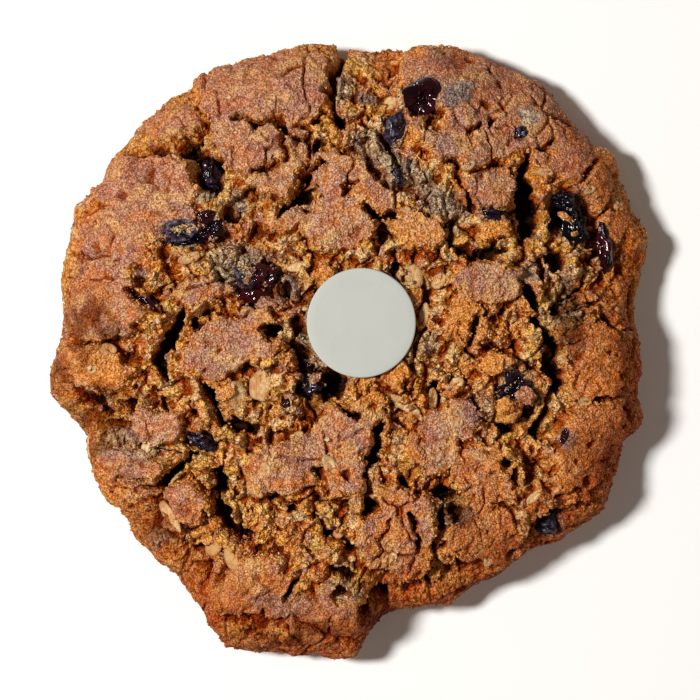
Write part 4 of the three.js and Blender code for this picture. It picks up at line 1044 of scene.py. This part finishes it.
def makeBerryCrumbs(skins):
    # crumbs stuck in clusters to the upper sides of some berries
    skins = [skins[number] for number in berryCrumbs["berries"]]
    counts = np.cumsum([0] + [len(points) for points, _ in skins])
    points = np.vstack([points for points, _ in skins])
    faces = np.vstack([faces + first for (_, faces), first in zip(skins, counts)])
    a, b, d = points[faces[:, 0]], points[faces[:, 1]], points[faces[:, 3]]
    normal = np.cross(b - a, d - a)
    upward = np.zeros(len(points))
    upward[faces[:, 0]] = normal[:, 2] / (np.linalg.norm(normal, axis=1) + 1e-9)
    cluster = smooth(0.2, 0.4, noise(*(points.T / 1.9)))
    for berry, dx, dy, *oval in berryCrumbs["clumps"]:
        cx, cy = berryPlaces[berry] + (dx, dy)
        reach = ovalReach(points[:, 0], points[:, 1], (cx, cy, *oval))
        cluster += berryCrumbs["crowding"] * (1 - smooth(0.7, 1.1, reach))
    looks = {key: np.full(len(points), value) for key, value in berryCrumbs["looks"].items()}
    weight = cluster * smooth(0.1, 0.5, upward)
    strew("berry_crumbs", berryCrumbs, *scattered(berryCrumbs["count"], points, faces, looks, weight))


# skin of a berry: its grid, how far the folds waver, weight of the folds and of finer ones, and as shares of
# the radius the dents, the lobes and the curl round a burst
skin = {
    "rows": 48, "around": 72, "waver": 0.25, "folds": 2.2, "fine": 0.8,
    "dents": 0.25, "lobes": 0.24, "curl": 0.16,
}


def berryForm(seed, size, turn, wrinkle, burst=None):
    # a shrunken skin: a ball drawn out along its length, tapered and bent, drawn in between raised folds that
    # run along it, and pushed in where it has burst, round which the skin curls up
    fromTip = np.linspace(0, np.pi, skin["rows"])
    aroundIt = np.linspace(0, 2 * np.pi, skin["around"], endpoint=False)
    a, b = np.meshgrid(fromTip, aroundIt, indexing="ij")
    x, y, z = np.cos(a), np.sin(a) * np.cos(b), np.sin(a) * np.sin(b)
    bx, by, bz = (v + skin["waver"] * noise(x * 1.7 + seed, y * 1.7, z * 1.7 + 4 * k)
                  for k, v in enumerate((x, y, z)))
    fold = np.abs(noise(bx * 1.2 + 7 * seed, by * 2.3, bz * 2.3))
    fine = np.abs(noise(bx * 2.6 + 5 * seed, by * 5.5, bz * 5.5 + 9))
    dent = noise(x * 1.1 + 3 * seed, y * 1.2, z * 1.2 + 2)
    lobe = noise(x * 1.9 + 11 * seed, y * 1.6, z * 1.6 + 5)
    r = 1 - wrinkle * (skin["folds"] * fold + skin["fine"] * fine)
    r = r - skin["dents"] * np.abs(dent) + skin["lobes"] * lobe
    # the dips between the folds take painted shade
    dip, lipAndHighlight = (fold * 1.6).clip(0, 1), np.zeros_like(fold)
    c, s = np.cos(np.radians(turn)), np.sin(np.radians(turn))
    if burst:
        across, along, reach, depth = burst
        up = np.sqrt(1 - across**2 - along**2)
        toward = x * (c * across + s * along) + y * (c * along - s * across) + z * up
        away = np.arccos(toward.clip(-1, 1)) / reach + 0.25 * noise(x * 2.5 + seed, y * 2.5, z * 2.5)
        hole = 1 - smooth(0.55, 1, away)
        r = r - depth * hole + skin["curl"] * np.exp(-((away - 1.1) / 0.16) ** 2)
        # where it has burst the dips take in the hole, for painted shade inside, and a thin band just outside
        # the curl takes the pale torn rim with a painted highlight along it
        dip, lipAndHighlight = np.maximum(dip, hole), np.exp(-((away - 1.25) / 0.08) ** 2) * (depth > 0.5)
    taper, bend = lattice(seed, 3.0, 1.0) - 0.5, lattice(seed, 5.0, 2.0) - 0.5
    y = y * (1 + 0.5 * taper * x) + 0.5 * bend * (x * x - 0.4)
    x, y, z = x * r, y * r, z * r
    x, y, z = ((v - (v.max() + v.min()) / 2) * span / np.ptp(v) for v, span in zip((x, y, z), size))
    points = np.stack([c * x - s * y, s * x + c * y, z], -1).reshape(-1, 3)
    return points, gridFaces(skin["rows"], skin["around"], True)[:, ::-1], dip.ravel(), lipAndHighlight.ravel()


def makeBerry(n, material):
    # one skin, or the closed skins of several lobes, as one piece
    forms, looks = [], []
    whole = [(0, 0, *berries[n])]
    for k, (dx, dy, *size, turn, wrinkle, red, bloom) in enumerate(lobes.get(n, whole)):
        points, faces, dip, lipAndHighlight = berryForm(n + 0.37 * k, size, turn, wrinkle, bursts.get((n, k)))
        points = points + berryMiddles[n] + (dx, dy, 0)
        patchy = noise(*(points.T / 3.1))
        forms.append((points, faces + k * len(points)))
        redness = np.clip(red * (1 + 1.2 * patchy), 0, 1)
        dusting = bloom * (1 - 0.7 * dip) * (1 - 0.8 * patchy)
        looks.append((redness, dusting, dip, lipAndHighlight))
    points, faces = (np.vstack(form) for form in zip(*forms))
    values = {key: np.concatenate(field) for key, field in zip(("red", "bloom", "dip", "lipAndHighlight"), zip(*looks))}
    joined, parts, values = welded(points, faces, values)
    piece = meshPiece(f"berry_skin_{n + 1:02d}", joined, parts, material, values)
    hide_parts(f"berry_{n + 1:02d}")
    return points, faces


# dough baked onto berries: berry, counted from 0, place beside its middle and drop below its top, length,
# width, height, turn, warmth, greyness and purple
nubs = [
    (6, -1.5, -3.4, 1.6, 4.8, 4.4, 4.0, 20, 1.0, 0.0, 0.0),
    (6, 1.6, -1.2, 0.7, 3.8, 3.0, 2.2, -30, 0.4, 0.0, 0.4),
    (4, 1.6, -4.0, 1.6, 3.8, 2.4, 2.4, -20, 0.3, 0.2, 0.4),
    (2, -1.9, -0.2, 0.8, 2.8, 1.2, 1.8, -30, 0.8, 0.0, 0.0),
    (2, -0.2, -3.1, 0.8, 1.2, 1.0, 1.2, 0, 0.3, 0.2, 0.0),
    (7, 0.6, 1.2, 0.6, 2.4, 1.7, 1.5, 40, 0.3, 0.3, 0.2),
]
nubBumps = [(1.7, 0.3), (4.2, 0.2), (8, 0.12)]  # how often they come round a nub, and height as a share of it


def makeNubs(material):
    # uneven balls of crumb, pushed in and out by noise of three sizes, as one piece
    pieces, looks = [], []
    unit, parts = ball(22, 32)
    for k, (berry, dx, dy, drop, length, width, height, turn, warm, grey, purple) in enumerate(nubs):
        bumps = sum(deep * noise(*(unit.T * often + k)) for often, deep in nubBumps)
        x, y, z = unit.T * (1 + bumps)
        x, y, z = x * length / 2, y * width / 2, z * height / 2
        c, s = np.cos(np.radians(turn)), np.sin(np.radians(turn))
        top = berryMiddles[berry] + [dx, dy, berries[berry][2] / 2 - drop]
        pieces.append(np.stack([c * x - s * y, s * x + c * y, z], -1) + top)
        looks.append((warm, grey, purple))
    count = len(unit)
    faces = [np.vstack([part + k * count for k in range(len(nubs))]) for part in parts]
    own = zip(("warm", "grey", "purple"), np.array(looks).T)
    values = {key: np.repeat(field, count) for key, field in own}
    for key, level in (("tint", 0.5), ("gold", 0.3), ("crust", 0.7), ("lump", 0.5), ("bit", 0.5)):
        values[key] = np.full(count * len(nubs), level)
    meshPiece("dough_nubs", np.vstack(pieces), faces, material, values)
    print("nubs", len(nubs))


def makeScraps(ground, material):
    # small torn skins half sunk in the dough, as one piece
    pieces, looks = [], []
    for k, (x, y, length, width, height, turn, wrinkle, red, bloom) in enumerate(scraps):
        points, faces, dip, _ = berryForm(40 + k, (length, width, height), turn, wrinkle)
        level, _, _ = seatAt(ground, x, y, 0.4 * length)
        pieces.append((points + [x, y, level - 0.1 * height], faces + k * len(points)))
        looks.append((np.full(len(points), red), bloom * (1 - 0.7 * dip), dip))
    values = {key: np.concatenate(field) for key, field in zip(("red", "bloom", "dip"), zip(*looks))}
    points, faces, values = welded(*(np.vstack(part) for part in zip(*pieces)), values)
    meshPiece("berry_scraps", points, faces, material, values)
    print("scraps", len(scraps))


# oat flakes: x, y, length, width, turn, lean and paleness
oats = {
    "thickness": 1.0, "cup": 0.3, "crease": 0.2, "creaseWidth": 0.16, "sunk": 0.45, "around": 28,
    "uneven": 0.12,  # of the outline, as a share of the size
    "bumps": 0.12,
    # rings over the top and back underneath: share of the radius, and of half the thickness
    "rings": [
        (0, 1), (0.3, 1), (0.55, 1), (0.75, 0.97), (0.9, 0.8), (0.98, 0.45), (1, 0), (0.95, -0.6),
        (0.7, -0.9), (0, -1),
    ],
    "flakes": [
        (-15.5, -6, 5.9, 4.2, 80, 8, 0.5), (-19.5, -8, 5.7, 3.5, 95, -10, 0.9),
        (9.5, -9.5, 6.6, 2, -32, 4, 1.0), (11, 13, 4.7, 3.5, 110, 12, 0.5), (12.9, 6, 4.5, 1.9, 80, 0, 0.6),
        (-9, 14.5, 4.2, 1.8, 12, 6, 0.9), (15.5, 12, 3.1, 2.4, 60, 10, 0.4),
        (18.5, -6, 2.9, 2.4, 40, -12, 0.8), (-42, 0, 2.8, 2.4, -20, 8, 0.3),
        (-31.5, -29, 6.6, 2, -55, -6, 0.5), (-24, -34.5, 3.5, 3.1, 60, 12, 0.0),
        (-20.5, -36, 4.9, 3.1, 100, 8, 0.1), (-14.5, -21, 2.4, 1.7, 90, 0, 0.8),
        (-3.5, -20, 3.8, 2.5, -60, 10, 0.9), (19, -12.5, 2.1, 1.6, 80, 0, 0.4),
        (24.5, -36.5, 3.5, 1.8, 65, 6, 0.4), (32, -25.8, 3.8, 1.6, 42, 0, 0.5),
        (34, 31, 3.1, 1.6, 5, 8, 0.8), (20.5, 32, 2.8, 1.6, 25, 6, 0.7), (41, -9, 2.4, 1.8, 0, 10, 0.4),
        (-2, -32, 2.2, 1.9, 45, 0, 0.6), (-9, -15, 2.2, 1.9, 45, 12, 0.4),
        (-16.5, -24.5, 3.5, 1.6, -38, 0, 0.4), (-35.5, -17, 2.4, 1.8, 60, 6, 1.0),
        (7, 43.2, 2.8, 2.1, 50, 0, 0.5), (14.5, -8.5, 1.7, 4.2, 0, 0, 0.5),
        (-45, -3.5, 1.7, 1.7, 0, 5, 0.4), (-28, 16, 4.2, 2.1, 20, 8, 0.5),
        (7.5, -28.5, 1.6, 1.2, 80, 0, 0.9), (7.5, -36, 1.6, 1.6, 0, 0, 1.0), (0.5, -33.5, 1, 1, 0, 0, 1.0),
        (42, 28, 2.3, 1.4, 30, 6, 0.6), (-46, -17, 4.9, 1.2, 90, 0, 0.4), (-41.5, -20, 3.1, 1, 0, 0, 0.4),
    ],
}


def makeOats(ground, material):
    # cupped ovals, creased along the middle: rings out over the top and back underneath, laid to the slope
    flakes = np.array(oats["flakes"])
    r, level = np.array(oats["rings"]).T
    angle = np.linspace(0, 2 * np.pi, oats["around"], endpoint=False)
    px, py, length, width, turn, lean, pale = flakes.T[:, :, None, None]
    uneven = 1 + oats["uneven"] * noise(2.2 * np.cos(angle) + 5 * px, 2.2 * np.sin(angle), py)
    u, v = r[:, None] * np.cos(angle) * uneven, r[:, None] * np.sin(angle) * uneven
    z = oats["thickness"] / 2 * level[:, None] + oats["cup"] * u**2
    z = z + oats["bumps"] * noise(3 * u + px, 3 * v + py, 2.5)
    z = z - oats["crease"] * np.exp(-((v / oats["creaseWidth"]) ** 2)) * (1 - u**2) * (level[:, None] > 0)
    c, s = np.cos(np.radians(turn)), np.sin(np.radians(turn))
    x, y = c * u * length / 2 - s * v * width / 2, s * u * length / 2 + c * v * width / 2
    z = z - np.tan(np.radians(lean)) * u * length / 2
    seats = np.array([seatAt(ground, f[0], f[1], 0.3 * (f[2] + f[3])) for f in flakes])
    height, gx, gy = seats.T[:, :, None, None]
    place = np.stack([px + x, py + y, height - oats["sunk"] + gx * x + gy * y + z], -1)
    edge = np.broadcast_to(r[:, None] ** 5 * (level[:, None] >= 0), x.shape)
    count = len(r) * len(angle)
    faces = gridFaces(len(r), len(angle), True)[:, ::-1] + (np.arange(len(flakes)) * count)[:, None, None]
    values = {"edge": edge, "pale": np.broadcast_to(pale, x.shape)}
    place, faces, values = welded(place.reshape(-1, 3), faces.reshape(-1, 4), values)
    meshPiece("oat_flakes", place, faces, material, values)
    print("oats", len(flakes))


# seat of a flake or scrap: height it lies above, percentage of the dough round it that is passed over as too
# low, and the steepest slope that it follows
seat = {"above": 3, "passedOver": 40, "steepest": 0.9}


def seatAt(points, x, y, reach):
    # the dough round a place as a sloping plane: its height there, on the high side, and its two slopes
    near = points[(np.hypot(points[:, 0] - x, points[:, 1] - y) < reach) & (points[:, 2] > seat["above"])]
    high = near[near[:, 2] > np.percentile(near[:, 2], seat["passedOver"])]
    flat = np.stack([np.ones(len(high)), high[:, 0] - x, high[:, 1] - y], -1)
    height, gx, gy = np.linalg.lstsq(flat, high[:, 2], rcond=None)[0]
    gx, gy = np.clip((gx, gy), -seat["steepest"], seat["steepest"])
    return height, gx, gy


def makeWafer(material):
    # a thin round sheet with a softly worn edge and a slight warp: rings out over the top, round the edge and
    # back, each a share of the radius and of half the thickness
    profile = [
        (0, 1), (0.3, 1), (0.6, 1), (0.85, 1), (0.97, 1), (0.992, 0.8), (1, 0.3), (1, -0.3), (0.992, -0.8),
        (0.97, -1), (0.6, -1), (0, -1),
    ]
    r, h = np.array(profile).T
    angle = np.linspace(0, 2 * np.pi, wafer["around"], endpoint=False)
    ring = 1 + wafer["wave"] * noise(np.cos(angle) * 1.2, np.sin(angle) * 1.2, 2.5)
    x = wafer["diameter"] / 2 * r[:, None] * ring * np.cos(angle)
    y = wafer["diameter"] / 2 * r[:, None] * ring * np.sin(angle)
    z = wafer["thickness"] / 2 * h[:, None] + wafer["warp"] * (noise(x / 8, y / 8, 1.5) - 1)
    middle = (waferLow + waferHigh) / 2 - offset
    points = np.stack([x, y, z + 0 * x], -1).reshape(-1, 3) + middle
    points, faces, _ = welded(points, gridFaces(len(profile), wafer["around"], True)[:, ::-1], {})
    piece = meshPiece("wafer_sheet", points, faces, material)
    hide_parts("wafer_disc")
    print("wafer")


oatMaterial = oatFlake(grain)
doughPoints, doughFaces, doughValues = makeDough()
for kind in grains:
    makeGrains(kind, doughPoints, doughFaces, doughValues)
skinMaterial = berrySkin()
makeBerryCrumbs([makeBerry(number, skinMaterial) for number in range(len(berries))])
makeNubs(doughMaterial)
makeScraps(doughPoints, skinMaterial)
makeWafer(waferPaper())
makeOats(doughPoints, oatMaterial)

studio = {
    "frame": 122.5, "plane": 15.0, "height": 700.0,  # width in view at a height, and the camera's height
    "surround": 0.07,
    "floor": 0.95, "floorSize": 2, "floorDrop": 0.2,  # just under the base, so that the two share no plane
    "key": {
        "place": (-0.64, 0.1, 1.0), "size": 0.2, "power": 16.5, "colour": (1, 0.98, 0.95), "mirrored": True,
    },
    # soft, and not mirrored in wet skins
    "fill": {
        "place": (0.5, -0.3, 1.2), "size": 1.2, "power": 1.8, "colour": (1, 0.8, 0.6), "mirrored": False,
    },
}


def makeStage():
    floor = bpy.data.meshes.new("floor")
    far, low = studio["floorSize"], -studio["floorDrop"] * mm
    corners = [(-far, -far, low), (far, -far, low), (far, far, low), (-far, far, low)]
    floor.from_pydata(corners, [], [(0, 1, 2, 3)])
    material, tree = newMaterial("paleFloor")
    shade = (studio["floor"], studio["floor"], studio["floor"], 1)
    shader = addNode(tree, "ShaderNodeBsdfPrincipled", {"Base Color": shade, "Roughness": 0.9})
    addNode(tree, "ShaderNodeOutputMaterial", {"Surface": shader.outputs["BSDF"]})
    floor.materials.append(material)
    stage = bpy.data.objects.new("floor", floor)
    bpy.context.scene.collection.objects.link(stage)


def areaLight(name, place, size, power, colour, mirrored):  # a round light that faces the origin
    data = bpy.data.lights.new(name, "AREA")
    data.shape, data.size, data.energy, data.color = "DISK", size, power, colour
    light = bpy.data.objects.new(name, data)
    light.location = place
    light.rotation_euler = (-Vector(place)).to_track_quat("-Z", "Y").to_euler()
    light.visible_glossy = mirrored
    bpy.context.scene.collection.objects.link(light)


def makeCamera():  # straight above, with the lens that takes in the given width
    data = bpy.data.cameras.new("camera")
    data.lens = data.sensor_width * (studio["height"] - studio["plane"]) / studio["frame"]
    camera = bpy.data.objects.new("camera", data)
    camera.location = (offset[0] * mm, offset[1] * mm, studio["height"] * mm)
    bpy.context.scene.collection.objects.link(camera)
    bpy.context.scene.camera = camera


makeStage()
areaLight("keyLight", **studio["key"])
areaLight("fillLight", **studio["fill"])
makeCamera()
world = bpy.data.worlds.new("studioWorld")
world.use_nodes = True
world.node_tree.nodes["Background"].inputs["Color"].default_value = (1, 1, 1, 1)
world.node_tree.nodes["Background"].inputs["Strength"].default_value = studio["surround"]
bpy.context.scene.world = world
bpy.context.scene.view_settings.view_transform = "Standard"
